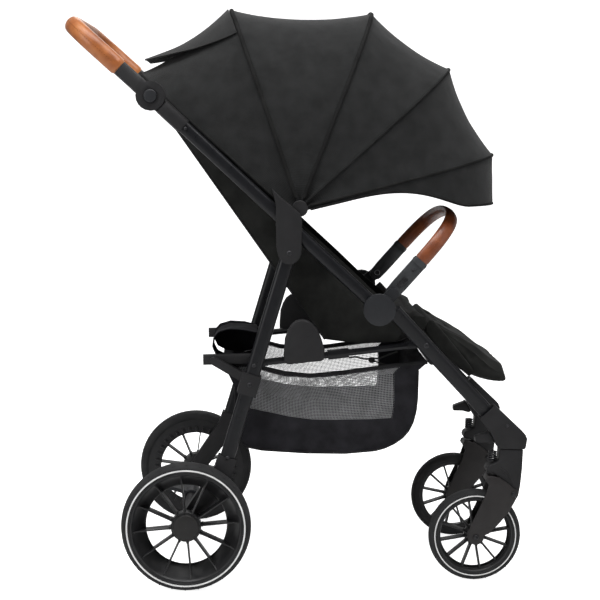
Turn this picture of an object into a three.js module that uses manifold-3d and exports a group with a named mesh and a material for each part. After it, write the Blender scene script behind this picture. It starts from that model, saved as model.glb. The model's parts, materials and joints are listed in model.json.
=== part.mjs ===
// Baby stroller: folding tube frame, four wheels, sprung casters, reclining seat, ribbed canopy and basket.
// Millimetres, +Z up, +X the way it rolls, +Y its left side. Modelled from the rear axle's X, with the
// floor at Z 0; the last lines move the origin under the middle of the whole.
import * as THREE from "three";
import { mergeVertices } from "three/addons/utils/BufferGeometryUtils.js";
import Module from "manifold-3d";

const wasm = await Module();
wasm.setup();

// ---- Driving dimensions ----
const gap = 0.3; // between pieces that touch
const running = 0.4; // radial clearance of a pin in its bore
const frameHalf = 232; // mid-plane to the centre of the side tubes
const wheelbase = 595;
const rearWheel = { radius: 130, width: 44, bead: 112, lip: 81, hub: 22, inset: 41 };
const frontWheel = { radius: 96, width: 34, bead: 79, lip: 70, hub: 14, half: 172 };
const axleRadius = 6;
const spokes = 12;
const wheelSides = 24;

const foldPivot = { x: 376, z: 571 };
const handleHinge = { x: -85, z: 982 };
const legPivot = { x: 194, z: 680 };
const linkRear = { x: 129, z: 452.5 };
const linkFront = { x: 475.6, z: 497 };
const canopyPivot = { x: 213, z: 768 };
const seatHinge = { x: 277, z: 495 };
const bumperPivot = { x: 405, z: 600 };
const seamCentre = { x: 610, z: 356.5 }; // where the front tube enters its housing

const upperTube = { deep: 26, wide: 21, round: 9 };
const frontTube = { deep: 35, wide: 22, round: 9, offset: 30, start: 26 };
const legTube = { deep: 30, wide: 21, round: 8, length: 459 };
const discRadius = 32;
const eyeRadius = 22;
const pinRadius = 6;
const smallPin = 4;

const handle = { hub: 29, plastic: 81, reach: 211, corner: 72, deep: 31, wide: 27 };
const grip = { deep: 36, wide: 29 };
const button = { radius: 13, depth: 7, sunk: 4.5 };
const housing = { width: 40, floor: 281 };
const caster = { trail: 68, headHalf: 19, stem: 8, stemLength: 34, pin: { x: 75, z: 92 } };
const fork = { blade: 5.5, tyreGap: 3 };
const bumper = { half: 200, armLength: 86, reach: 204, angle: 49.6, deep: 30, thick: 12 };
const seat = { half: 184, sheet: 3, sheetHalf: 191, pad: 30, back: 552 };
const basket = { half: 190, wall: 2.5 };
const canopy = { half: 216.4, radius: 424, cloth: 1.6, bowDepth: 3, bowWidth: 9, layer: 3.6 };
const bowAngles = [110.2, 70, 42.8, 15.4];
const canopyBack = 139;
const visorDrop = 13.4;

// ---- Materials ----
const paint = (color, roughness, metalness) =>
  new THREE.MeshStandardMaterial({ color, roughness, metalness });
const satinBlack = paint(0x1c1d20, 0.38, 0.6);
const plastic = paint(0x242427, 0.55, 0);
const greyPlastic = paint(0x3c3e42, 0.5, 0);
const rubber = paint(0x151515, 0.85, 0);
const rimBlack = paint(0x121214, 0.4, 0.1);
const canopyCloth = paint(0x2b2b2b, 0.95, 0);
const seatCloth = paint(0x1f201e, 0.95, 0);
const basketCloth = paint(0x1f1f26, 0.95, 0);
const leather = paint(0x9a4a22, 0.45, 0);

// ---- Geometry helpers ----
const radians = THREE.MathUtils.degToRad;
const group = new THREE.Group();
const vec = (p, y = 0) => new THREE.Vector3(p.x, y, p.z);
const at = (p, angle, r) =>
  ({ x: p.x + r * Math.cos(radians(angle)), z: p.z + r * Math.sin(radians(angle)) });
const angleOf = (a, b) => THREE.MathUtils.radToDeg(Math.atan2(b.z - a.z, b.x - a.x));
const distance = (a, b) => Math.hypot(b.x - a.x, b.z - a.z);

// A closed geometry as a solid, turned right side out.
function solid(geometry) {
  const plain = geometry.clone();
  plain.deleteAttribute("normal");
  plain.deleteAttribute("uv");
  const merged = mergeVertices(plain, 1e-3);
  const tris = new Uint32Array(merged.index.array);
  const made = () =>
    new wasm.Manifold(new wasm.Mesh({ numProp: 3, vertProperties: merged.attributes.position.array, triVerts: tris }));
  const first = made();
  if (first.volume() > 0) return first;
  for (let i = 0; i < tris.length; i += 3) [tris[i + 1], tris[i + 2]] = [tris[i + 2], tris[i + 1]];
  return made();
}

function shapeOf(manifold) {
  const mesh = manifold.getMesh();
  const geometry = new THREE.BufferGeometry();
  geometry.setAttribute("position", new THREE.BufferAttribute(mesh.vertProperties, 3));
  geometry.setIndex(new THREE.BufferAttribute(mesh.triVerts, 1));
  return geometry;
}

const join = (...parts) => parts.reduce((whole, part) => whole.add(part));
const cut = (whole, ...parts) => parts.reduce((left, part) => left.subtract(part), whole);

function piece(name, manifold, material, mirrored = false) {
  const mesh = new THREE.Mesh(shapeOf(manifold), material);
  mesh.name = name;
  if (mirrored) mesh.scale.y = -1;
  group.add(mesh);
}

// The same piece on both sides: modelled on the left, mirrored to the right.
function pair(name, manifold, material) {
  piece(`${name}_L`, manifold, material);
  piece(`${name}_R`, manifold, material, true);
}

// An outline in X and Z, filled from y0 to y1.
function slab(points, y0, y1) {
  const shape = new THREE.Shape(points.map((p) => new THREE.Vector2(p.x, p.z)));
  const geometry = new THREE.ExtrudeGeometry(shape, { depth: y1 - y0, bevelEnabled: false });
  return solid(geometry.rotateX(Math.PI / 2).translate(0, y1, 0));
}

const pts = (...pairs) => pairs.map(([x, z]) => ({ x, z }));

function arc(centre, radius, from, to, steps = 6) {
  const swing = (k) => from + ((to - from) * k) / steps;
  return Array.from({ length: steps + 1 }, (_, k) => at(centre, swing(k), radius));
}

// A disc or pin whose axis runs along Y.
function disc(centre, radius, y0, y1, sides = 16) {
  const geometry = new THREE.CylinderGeometry(radius, radius, y1 - y0, sides);
  return solid(geometry.translate(centre.x, (y0 + y1) / 2, centre.z));
}

// A stadium outline round two centres, filled from y0 to y1.
function capsule(a, b, ra, rb, y0, y1) {
  const way = angleOf(a, b);
  return slab([...arc(b, rb, way - 90, way + 90), ...arc(a, ra, way + 90, way + 270)], y0, y1);
}

function roundedSection(wide, deep, round) {
  const shape = new THREE.Shape();
  const [w, d] = [wide / 2, deep / 2];
  const r = Math.min(round, w, d);
  shape.moveTo(-w + r, -d).lineTo(w - r, -d).absarc(w - r, -d + r, r, -Math.PI / 2, 0);
  shape.lineTo(w, d - r).absarc(w - r, d - r, r, 0, Math.PI / 2);
  shape.lineTo(-w + r, d).absarc(-w + r, d - r, r, Math.PI / 2, Math.PI);
  shape.lineTo(-w, -d + r).absarc(-w + r, -d + r, r, Math.PI, Math.PI * 1.5);
  return shape;
}

// A straight tube from a to b: `wide` runs across the object, `deep` in its side plane.
function strut(a, b, { wide, deep, round = 1 }) {
  const along = new THREE.Vector3().subVectors(b, a);
  const depth = along.length();
  along.normalize();
  const across = new THREE.Vector3(0, 1, 0).addScaledVector(along, -along.y).normalize();
  const up = new THREE.Vector3().crossVectors(along, across);
  const section = roundedSection(wide, deep, round);
  const geometry = new THREE.ExtrudeGeometry(section, { depth, bevelEnabled: false, curveSegments: 1 });
  const turn = new THREE.Matrix4().makeBasis(across, up, along).setPosition(a);
  return solid(geometry.applyMatrix4(turn));
}

// An oval section carried along a curve.
function sweep(curve, across, normal, steps) {
  const shape = new THREE.Shape().absellipse(0, 0, across / 2, normal / 2, 0, Math.PI * 2);
  return solid(new THREE.ExtrudeGeometry(shape, { steps, extrudePath: curve, curveSegments: 5 }));
}

// A ring or wheel turned about a Y axis through `centre`, from a closed profile of [radius, y] points.
function turned(profile, centre, y, sides) {
  const points = profile.map(([r, h]) => new THREE.Vector2(r, h));
  const geometry = new THREE.LatheGeometry([...points, points[0]], sides);
  return solid(geometry.translate(centre.x, y, centre.z));
}

const grown = (tube, by) =>
  ({ ...tube, wide: tube.wide + 2 * by, deep: tube.deep + 2 * by, round: tube.round + by });

// ---- Places along the upper tube: s runs up from the fold pivot, p stands off its upper side ----
const tubeAngle = angleOf(foldPivot, handleHinge);
const tubeLength = distance(foldPivot, handleHinge);
const onTube = (s, p = 0) => at(at(foldPivot, tubeAngle, s), tubeAngle - 90, p);

// ---- Front tubes: they converge to the casters ----
const seamHalf = frontWheel.half + 2;
const lowerWay = angleOf(at(foldPivot, 41, frontTube.offset), seamCentre);
const tubeTop = at(at(foldPivot, lowerWay + 90, frontTube.offset), lowerWay, frontTube.start);
const frontStart = vec(tubeTop, frameHalf);
const seam = vec(seamCentre, seamHalf);
const frontWay = new THREE.Vector3().subVectors(seam, frontStart).normalize();
const tubeInsert = 20;
const frontEnd = seam.clone().addScaledVector(frontWay, tubeInsert);
pair("front_tube", strut(frontStart, frontEnd, frontTube), satinBlack);
const converge = (seamHalf - frameHalf) / distance(tubeTop, seamCentre);
const innerFace = (p) => frameHalf + converge * distance(tubeTop, p) - frontTube.wide / 2;

// ---- Housing at the foot of each front tube, with the caster's bore ----
const frontAxle = { x: wheelbase, z: frontWheel.radius };
const swivel = { x: frontAxle.x + caster.trail, z: housing.floor };
const seamRadius = 21;
const noseX = swivel.x + 29;
const housingOutline = [
  at(seamCentre, lowerWay - 90, seamRadius),
  { x: swivel.x - 46, z: housing.floor + 35 },
  { x: swivel.x - 27, z: housing.floor },
  { x: noseX - 3, z: housing.floor },
  { x: noseX, z: housing.floor + 4 },
  { x: noseX + 2, z: housing.floor + 22 },
  { x: noseX - 2, z: housing.floor + 31 },
  at(seamCentre, lowerWay + 90, seamRadius),
];
const wheelPlane = frontWheel.half;
const tubeSocket = strut(frontStart, frontEnd.clone().addScaledVector(frontWay, gap), grown(frontTube, gap));
function standing(radius, z0, z1) {
  const post = new THREE.CylinderGeometry(radius, radius, z1 - z0, 16).rotateX(Math.PI / 2);
  return solid(post.translate(swivel.x, wheelPlane, (z0 + z1) / 2));
}
const stemTop = housing.floor + caster.stemLength;
const housingSolid = slab(housingOutline, wheelPlane - housing.width / 2, wheelPlane + housing.width / 2);
const stemBore = standing(caster.stem + running, housing.floor - 1, stemTop + 1);
pair("front_housing", cut(housingSolid, tubeSocket, stemBore), plastic);

// ---- Swivel lock lever on the back of each housing ----
const lockRest = pts([-74, 11], [-74, 22], [-51, 31], [-46.8, 34.4], [-33.4, 10.6], [-39, 7.5], [-53, 11]);
const lockOutline = lockRest.map((p) => ({ x: swivel.x + p.x - gap, z: housing.floor + p.z }));
pair("caster_lock", slab(lockOutline, wheelPlane - 11, wheelPlane + 11), plastic);

// ---- Fold disc: cover, hinge pin, inner cheek and the bumper bar's stub ----
const tubeOut = frontTube.wide / 2;
const discBody = join(
  disc(foldPivot, discRadius, frameHalf + tubeOut + gap, frameHalf + tubeOut + 13, 24),
  disc(foldPivot, pinRadius, frameHalf - tubeOut - 2, frameHalf + tubeOut + 2),
  capsule(foldPivot, bumperPivot, 15, 12, frameHalf - tubeOut - 5.5, frameHalf - tubeOut - gap),
  disc(bumperPivot, 11, bumper.half + bumper.thick / 2 + gap, frameHalf - tubeOut - 3),
  disc(bumperPivot, pinRadius, bumper.half - bumper.thick / 2 + 2, frameHalf - tubeOut - 3),
);
pair("fold_disc", discBody, greyPlastic);

// ---- Upper tubes, with the fold eye at the foot ----
const hingeInsert = 48;
const socketReach = 88;
const tubeHead = onTube(tubeLength - socketReach + hingeInsert);
const upper = cut(
  join(
    disc(foldPivot, eyeRadius, frameHalf - upperTube.wide / 2, frameHalf + upperTube.wide / 2, 20),
    strut(vec(onTube(8), frameHalf), vec(tubeHead, frameHalf), upperTube),
  ),
  disc(foldPivot, pinRadius + running, frameHalf - 30, frameHalf + 30),
);
pair("upper_tube", upper, satinBlack);
const upperClear = strut(vec(onTube(0), frameHalf),
  vec(onTube(tubeLength - socketReach + hingeInsert + gap), frameHalf),
  grown(upperTube, gap));

// ---- Handle hinge: the lower half, a sleeve on the tube with a half hub and its pin ----
const halfHub = 14;
const hubPin = 8;
const hubClear = handle.hub + 1.5;
const sleeve = { wide: handle.wide, deep: handle.deep, round: 10 };
const halfSleeve = { ...sleeve, wide: halfHub - gap, round: 4 };
const sleeveEnd = onTube(tubeLength - socketReach);
const inboard = frameHalf - (halfHub + gap) / 2;
const outboard = frameHalf + (halfHub + gap) / 2;
pair("handle_hinge", join(
  cut(strut(vec(sleeveEnd, frameHalf), vec(onTube(tubeLength - hubClear), frameHalf), sleeve), upperClear),
  strut(vec(onTube(tubeLength - hubClear - 4), inboard), vec(handleHinge, inboard), halfSleeve),
  disc(handleHinge, handle.hub, frameHalf - halfHub, frameHalf - gap, 20),
  disc(handleHinge, hubPin, frameHalf - 2, frameHalf + 7),
), plastic);

// ---- Handle arms: the upper half hubs, each with a sunk button ----
const armWay = tubeAngle + 1;
const alongArm = (s) => at(handleHinge, armWay, s);
const buttonFloor = frameHalf + halfHub - button.sunk;
pair("handle_arm", cut(
  join(
    strut(vec(alongArm(hubClear), frameHalf), vec(alongArm(handle.plastic - gap), frameHalf), sleeve),
    strut(vec(handleHinge, outboard), vec(alongArm(hubClear + 4), outboard), halfSleeve),
    disc(handleHinge, handle.hub, frameHalf + gap, frameHalf + halfHub, 20),
  ),
  disc(handleHinge, hubPin + running, frameHalf - 5, frameHalf + 7.5),
  disc(handleHinge, button.radius + running, buttonFloor, frameHalf + halfHub + 5, 20),
), plastic);
const buttonInner = buttonFloor + 3.5;
pair("handle_button", disc(handleHinge, button.radius, buttonInner, buttonInner + button.depth, 20), greyPlastic);

// ---- Leather grip: a U from one arm to the other ----
function uCurve(place, half, from, reach, corner) {
  const turns = 5;
  const bend = (side) => Array.from({ length: turns + 1 }, (_, k) => {
    const a = ((side > 0 ? k : turns - k) / turns) * (Math.PI / 2);
    const y = half - corner + corner * Math.cos(a);
    return vec(place(reach - corner + corner * Math.sin(a)), side * y);
  });
  const ends = [vec(place(from), half), vec(place(from + 25), half)];
  const back = ends.map((p) => p.clone().setY(-half)).reverse();
  return new THREE.CatmullRomCurve3([...ends, ...bend(1), ...bend(-1), ...back], false, "centripetal");
}
const gripCurve = uCurve(alongArm, frameHalf, handle.plastic, handle.reach, handle.corner);
piece("handle_grip", sweep(gripCurve, grip.wide, grip.deep, 20), leather);

// ---- Leg bracket: a saddle on the upper tube, the leg's cheeks below and the canopy's post above ----
const bracketHalf = 16;
const legWay = angleOf(legPivot, { x: 72, z: 237 });
const bracketOutline = [
  onTube(318, 18), onTube(235, 18), { x: legPivot.x + 19, z: legPivot.z + 4 },
  ...arc(legPivot, 19, 0, -180, 8), { x: legPivot.x - 20, z: legPivot.z + 48 }, onTube(318, -17),
];
const web = 4;
const slotTop = -upperTube.deep / 2 - gap - web;
const slotOutline = [onTube(130, slotTop), onTube(340, slotTop), onTube(340, -110), onTube(130, -110)];
const legSlack = 0.5;
const bowStack = canopy.layer * bowAngles.length;
const postTop = frameHalf - bracketHalf + 4;
const bracket = join(
  cut(
    join(
      slab(bracketOutline, frameHalf - bracketHalf, frameHalf + bracketHalf),
      capsule(onTube(250, 8), canopyPivot, 15, 12, frameHalf - bracketHalf, frameHalf + bracketHalf),
    ),
    upperClear,
    slab(slotOutline, frameHalf - legTube.wide / 2 - legSlack, frameHalf + legTube.wide / 2 + legSlack),
  ),
  disc(legPivot, smallPin, frameHalf - bracketHalf + 1, frameHalf + bracketHalf - 1),
  disc(canopyPivot, smallPin, frameHalf - bracketHalf - bowStack - 1, postTop),
);
pair("leg_bracket", bracket, plastic);

// ---- Rear legs ----
const legFoot = at(legPivot, legWay, legTube.length);
const leg = cut(
  join(
    strut(vec(legPivot, frameHalf), vec(legFoot, frameHalf), legTube),
    disc(legPivot, legTube.deep / 2, frameHalf - legTube.wide / 2, frameHalf + legTube.wide / 2),
  ),
  disc(legPivot, smallPin + running, frameHalf - 30, frameHalf + 30),
);
pair("rear_leg", leg, satinBlack);
const legClear = strut(vec(legPivot, frameHalf), vec(at(legFoot, legWay, gap), frameHalf),
  grown(legTube, gap));

// ---- Collar on each leg, with the arm and the rail that hold the back of the basket ----
const alongLeg = (s, p = 0) => at(at(legPivot, legWay, s), legWay + 90, p);
const collarOutline = [alongLeg(255, -20), alongLeg(255, 19), alongLeg(298, 19), alongLeg(298, -20)];
const railEnd = { x: 26, z: 456 };
const railWide = 14;
const railInner = basket.half + 1.4;
const railFoot = alongLeg(225, 8);
const collar = cut(
  join(
    slab(collarOutline, frameHalf - 14.5, frameHalf + 14.5),
    capsule(alongLeg(272, -8), { x: railEnd.x + 22, z: railEnd.z }, 9, 8, railInner, frameHalf - 12),
    strut(vec(railEnd, railInner + railWide / 2), vec(railFoot, railInner + railWide / 2),
      { wide: railWide, deep: 21, round: 3 }),
  ),
  legClear,
);
pair("basket_rail", collar, plastic);

// ---- Rear axle: socket brackets, cross beam and stub axles, in one piece ----
const rearAxle = { x: 0, z: rearWheel.radius };
const bracketOut = frameHalf + 14;
const rearPlane = frameHalf + rearWheel.inset;
const socketHead = legTube.length - 28;
const axleSide = (side) => {
  const outline = [
    alongLeg(socketHead, 19), alongLeg(socketHead, -19), alongLeg(legTube.length, -20),
    ...arc(rearAxle, 17, 160, 330, 8), alongLeg(legTube.length + 12, 19),
  ];
  const ys = side > 0 ? [frameHalf - 14, bracketOut] : [-bracketOut, -frameHalf + 14];
  const stub = side > 0 ? [bracketOut - 2, rearPlane + 12] : [-rearPlane - 12, -bracketOut + 2];
  return join(slab(outline, ...ys), disc(rearAxle, axleRadius, ...stub));
};
const flip = (manifold) => manifold.mirror([0, 1, 0]);
const beamRadius = 10;
piece("rear_axle", cut(
  join(axleSide(1), axleSide(-1), disc(rearAxle, beamRadius, -frameHalf + 12, frameHalf - 12)),
  legClear, flip(legClear),
), plastic);

// ---- Brake pedal: a ring on the beam with a tread plate ----
const pedalHalf = 34;
piece("brake_pedal", cut(
  join(
    disc(rearAxle, beamRadius + 6, -pedalHalf, pedalHalf),
    slab(pts([-66, 150], [-62, 157], [-20, 146], [-4, 140], [-8, 130], [-22, 138]).map((p) => ({
      x: rearAxle.x + p.x, z: rearAxle.z - 130 + p.z })), -pedalHalf, pedalHalf),
  ),
  disc(rearAxle, beamRadius + running, -pedalHalf - 1, pedalHalf + 1),
), greyPlastic);

// ---- Wheels: a dished rim with blade spokes, and a tyre on its bead ----
function rimSolid(wheel, centre, y) {
  const half = wheel.width / 2 - 4;
  const rim = turned([
    [wheel.bead - gap, half], [wheel.bead - 5, half], [wheel.lip, -half + 4], [wheel.lip, -half],
    [wheel.bead - gap, -half],
  ], centre, y, wheelSides);
  const blade = new THREE.BoxGeometry(wheel.bead - 6 - wheel.hub, wheel.width * 0.32, 3);
  blade.translate((wheel.bead - 6 + wheel.hub) / 2 - 2, -wheel.width * 0.12, 0);
  const blades = Array.from({ length: spokes }, (_, k) => {
    const turnedBlade = blade.clone().rotateY((k * 2 * Math.PI) / spokes + 0.11);
    return solid(turnedBlade.translate(centre.x, y, centre.z));
  });
  const hub = disc(centre, wheel.hub, y - half - 1, y + half - 6, 16);
  return cut(join(rim, hub, ...blades), disc(centre, axleRadius + running, y - 40, y + 40));
}

function tyreSolid(wheel, centre, y) {
  const half = wheel.width / 2;
  const tread = Array.from({ length: 5 }, (_, k) => {
    const a = ((k - 2) / 2) * (Math.PI / 2);
    return [wheel.radius - 7 + 7 * Math.cos(a), (half - 2) * Math.sin(a)];
  });
  const side = wheel.bead + 5;
  const profile = [[wheel.bead, -half + 2], [side, -half], ...tread, [side, half], [wheel.bead, half - 2]];
  return turned(profile, centre, y, wheelSides);
}

pair("rear_rim", rimSolid(rearWheel, rearAxle, rearPlane), rimBlack);
pair("rear_tyre", tyreSolid(rearWheel, rearAxle, rearPlane), rubber);
pair("front_rim", rimSolid(frontWheel, frontAxle, wheelPlane), rimBlack);
pair("front_tyre", tyreSolid(frontWheel, frontAxle, wheelPlane), rubber);

// ---- Caster heads: stem, body and the lug that carries the fork's pin ----
const forkPivot = { x: frontAxle.x + caster.pin.x, z: frontAxle.z + caster.pin.z };
const headTop = housing.floor - gap - 0.2;
const headOutline = [
  { x: swivel.x - 27, z: headTop }, { x: swivel.x - 42, z: headTop - 17 },
  { x: forkPivot.x - 63, z: forkPivot.z + 62 }, { x: forkPivot.x - 62, z: forkPivot.z + 50 },
  { x: forkPivot.x - 48, z: forkPivot.z + 46 }, { x: forkPivot.x - 28, z: forkPivot.z + 34 },
  { x: forkPivot.x - 14, z: forkPivot.z + 15 }, ...arc(forkPivot, 11, 180, 340, 7),
  { x: forkPivot.x + 13, z: forkPivot.z + 30 }, { x: swivel.x + 25, z: headTop },
];
const head = cut(
  join(
    slab(headOutline, wheelPlane - caster.headHalf, wheelPlane + caster.headHalf),
    standing(caster.stem, headTop - 5, stemTop),
  ),
  disc(forkPivot, pinRadius + running, wheelPlane - 30, wheelPlane + 30),
);
pair("caster_head", head, plastic);

// ---- Forks: two blades beside the wheel, a bridge over it, the swing pin and the wheel's axle ----
const bladeIn = frontWheel.width / 2 + fork.tyreGap;
const bladeOut = bladeIn + fork.blade;
const bladeOutline = [
  { x: forkPivot.x - 60, z: forkPivot.z + 28 }, { x: forkPivot.x - 57, z: forkPivot.z - 6 },
  { x: frontAxle.x - 16, z: frontAxle.z + 8 }, ...arc(frontAxle, 17, 180, 350, 8),
  { x: forkPivot.x - 28, z: forkPivot.z - 66 }, { x: forkPivot.x + 6, z: forkPivot.z - 14 },
  ...arc(forkPivot, 11, -40, 90, 5),
];
const bridgeOutline = [
  { x: forkPivot.x - 60, z: forkPivot.z + 28 }, { x: forkPivot.x - 58, z: forkPivot.z + 14 },
  { x: forkPivot.x - 44, z: forkPivot.z + 12 }, { x: forkPivot.x - 29, z: forkPivot.z + 5 },
  { x: forkPivot.x - 22, z: forkPivot.z + 12 }, { x: forkPivot.x - 40, z: forkPivot.z + 24 },
];
const blade = slab(bladeOutline, bladeIn, bladeOut);
const forkSolid = join(
  blade.translate([0, wheelPlane, 0]), flip(blade).translate([0, wheelPlane, 0]),
  slab(bridgeOutline, wheelPlane - bladeIn - 1, wheelPlane + bladeIn + 1),
  disc(forkPivot, pinRadius, wheelPlane - bladeIn - 1, wheelPlane + bladeIn + 1),
  disc(frontAxle, axleRadius, wheelPlane - bladeIn - 1, wheelPlane + bladeIn + 1),
);
pair("caster_fork", forkSolid, plastic);

// ---- Side links: a rod with a locking sleeve and a flat eye at each end, and the knee cover on it ----
const eyeThick = 7;
const linkRearY = frameHalf - legTube.wide / 2 - gap - eyeThick / 2;
const linkFrontY = innerFace(linkFront) - 2.2 - eyeThick / 2;
const linkAt = (t) =>
  new THREE.Vector3().lerpVectors(vec(linkRear, linkRearY - 3.5), vec(linkFront, linkFrontY), t);
const strap = { wide: eyeThick, deep: 14, round: 1 };
const rod = { wide: 14, deep: 14, round: 7 };
const linkFlat = (t0, t1, y) => {
  const [a, b] = [linkAt(t0), linkAt(t1)];
  return strut(a.setY(y), b.setY(y), strap);
};
const cover = { from: 0.19, to: 0.41 };
const linkSolid = join(
  disc(linkRear, 10, linkRearY - eyeThick / 2, linkRearY + eyeThick / 2),
  disc(linkFront, 10, linkFrontY - eyeThick / 2, linkFrontY + eyeThick / 2),
  linkFlat(0, 0.08, linkRearY), linkFlat(0.88, 1, linkFrontY),
  strut(linkAt(0.05), linkAt(0.895), rod),
  strut(linkAt(0.43), linkAt(0.55), { wide: 19, deep: 20, round: 8 }),
);
pair("side_link", linkSolid, satinBlack);
const coverFoot = [linkAt(cover.from), linkAt(cover.to)].map(({ x, z }) => ({ x, z: z - 10 }));
const coverCentre = { x: (coverFoot[0].x + coverFoot[1].x) / 2, z: coverFoot[1].z + 58 };
const coverWidth = (coverFoot[1].x - coverFoot[0].x) / 2;
const coverOutline = [coverFoot[0], coverFoot[1], ...arc(coverCentre, coverWidth * 0.94, 0, 180, 10)];
const rodClear = strut(linkAt(0.05), linkAt(0.895), grown(rod, gap));
pair("link_cover", cut(slab(coverOutline, linkRearY - 12, linkRearY + eyeThick / 2), rodClear), plastic);

// ---- Cross tube between the front tubes ----
const crossAt = { x: linkFront.x + 16.5, z: linkFront.z - 35 };
const crossRadius = 9;
const crossHalf = innerFace(crossAt) - 1.2;
piece("front_cross_tube", disc(crossAt, crossRadius, -crossHalf, crossHalf, 20), satinBlack);

// ---- Basket: an open cloth box whose rim sags between its hangers ----
const basketOutline = [
  { x: 58, z: 462 }, { x: 92, z: 398 }, { x: 98, z: 300 }, { x: 112, z: 277 }, { x: 150, z: 270 },
  { x: crossAt.x - 156, z: 269 }, { x: crossAt.x - 90, z: 277 }, { x: crossAt.x - 58, z: 302 },
  { x: crossAt.x - 34, z: 345 }, { x: crossAt.x - 29, z: 390 }, { x: crossAt.x - 28, z: 440 },
  { x: crossAt.x - crossRadius - gap, z: crossAt.z },
];
function inset(points, by) {
  return points.map((p, i) => {
    const before = points[(i + points.length - 1) % points.length];
    const after = points[(i + 1) % points.length];
    const [a, b] = [radians(angleOf(before, p)), radians(angleOf(p, after))];
    const mid = (Math.atan2(Math.sin(a) + Math.sin(b), Math.cos(a) + Math.cos(b)));
    const push = by / Math.cos((Math.atan2(Math.sin(b - a), Math.cos(b - a))) / 2);
    return { x: p.x - push * Math.sin(mid), z: p.z + push * Math.cos(mid) };
  });
}
const rim = [...pts([0, 470], [58, 460], [147, 449], [231, 429], [297, 433]),
  { x: crossAt.x - 78, z: 455 }, { x: crossAt.x, z: crossAt.z + 2 }, { x: 600, z: crossAt.z + 2 },
  { x: 600, z: 700 }, { x: 0, z: 700 }];
const insideOutline = inset(basketOutline, basket.wall);
insideOutline[0].z += 90;
insideOutline[basketOutline.length - 1].z += 90;
piece("basket", cut(
  slab(basketOutline, -basket.half, basket.half),
  slab(insideOutline, -basket.half + basket.wall, basket.half - basket.wall),
  slab(rim, -basket.half - 1, basket.half + 1),
), basketCloth);

// ---- Seat: cloth sling with side panels, back pad, base pad and harness ----
const backWay = 126.3;
const alongBack = (u, v = 0) => at(at(seatHinge, backWay, u), backWay - 90, v);
const slingBack = [alongBack(0, -2.4), alongBack(0, -0.4), alongBack(seat.back, -0.4), alongBack(seat.back, -2.4)];
const slingSide = [
  alongBack(8, 0), alongBack(seat.back, -2), onTube(tubeLength - 96, 8), onTube(70, 4),
  { x: foldPivot.x - 10, z: foldPivot.z + 4 }, { x: foldPivot.x + 40, z: foldPivot.z - 25 },
  { x: foldPivot.x + 50, z: foldPivot.z - 66 }, { x: foldPivot.x - 60, z: foldPivot.z - 74 },
];
const sheetIn = seat.sheetHalf - seat.sheet;
const loops = [130, 400].map((s) =>
  slab([onTube(s, 6), onTube(s, -8), onTube(s + 34, -8), onTube(s + 34, 6)], sheetIn + 1,
    frameHalf - upperTube.wide / 2 - gap));
const leftSide = join(slab(slingSide, sheetIn, seat.sheetHalf), ...loops);
piece("seat_sling", join(slab(slingBack, -seat.sheetHalf, seat.sheetHalf), leftSide, flip(leftSide)), seatCloth);
const padFoot = 60;
const padOutline = [
  alongBack(padFoot), alongBack(padFoot, seat.pad - 8), alongBack(padFoot + 8, seat.pad),
  alongBack(seat.back - 14, seat.pad), alongBack(seat.back - 4, seat.pad - 8), alongBack(seat.back - 2),
];
piece("backrest", slab(padOutline, -seat.half, seat.half), seatCloth);
const strapAt = (v) => seat.pad + gap + v;
const belt = (u0, u1, y0, y1) => slab([alongBack(u0, strapAt(0)), alongBack(u0, strapAt(4)),
  alongBack(u1, strapAt(4)), alongBack(u1, strapAt(0))], y0, y1);
const shoulder = { from: 120, to: 430, y: 45, wide: 38 };
const buckle = slab([alongBack(112, strapAt(0)), alongBack(112, strapAt(14)), alongBack(160, strapAt(14)),
  alongBack(160, strapAt(0))], -26, 26);
piece("harness", join(
  belt(shoulder.from, shoulder.to, shoulder.y, shoulder.y + shoulder.wide),
  belt(shoulder.from, shoulder.to, -shoulder.y - shoulder.wide, -shoulder.y),
  belt(shoulder.from + 4, shoulder.from + 32, -150, 150), buckle,
), plastic);
const hingeRest = { x: foldPivot.x + 116, z: foldPivot.z - 30 };
const baseOutline = [
  { x: seatHinge.x + 23, z: seatHinge.z - 1 }, { x: hingeRest.x - 62, z: seatHinge.z + 4 },
  { x: hingeRest.x - 14, z: hingeRest.z - 20 }, { x: hingeRest.x - 5, z: hingeRest.z },
  { x: hingeRest.x - 12, z: hingeRest.z + 14 }, { x: hingeRest.x - 40, z: hingeRest.z + 16 },
  { x: seatHinge.x + 50, z: seatHinge.z + 45 }, { x: seatHinge.x + 19, z: seatHinge.z + 18 },
];
piece("seat_base", slab(baseOutline, -sheetIn + gap, sheetIn - gap), seatCloth);

// ---- Leg rest: a padded flap hung from the seat's front edge ----
const restHalf = 150;
const restNose = 4.6;
const noseArc = arc({ x: 0, z: 0 }, restNose, -90, -270, 4).map((p) => [p.x, p.z]);
const restOutline = pts(...noseArc, [9, 15], [24, 17], [42, -6], [82, -52], [128, -88], [158, -104], [172, -116],
  [174, -123], [166, -127], [133, -124], [88, -115], [48, -72], [14, -24]);
const restPlaced = restOutline.map((p) => ({ x: hingeRest.x + p.x, z: hingeRest.z + p.z }));
piece("leg_rest", slab(restPlaced, -restHalf, restHalf),
  seatCloth);

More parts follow.
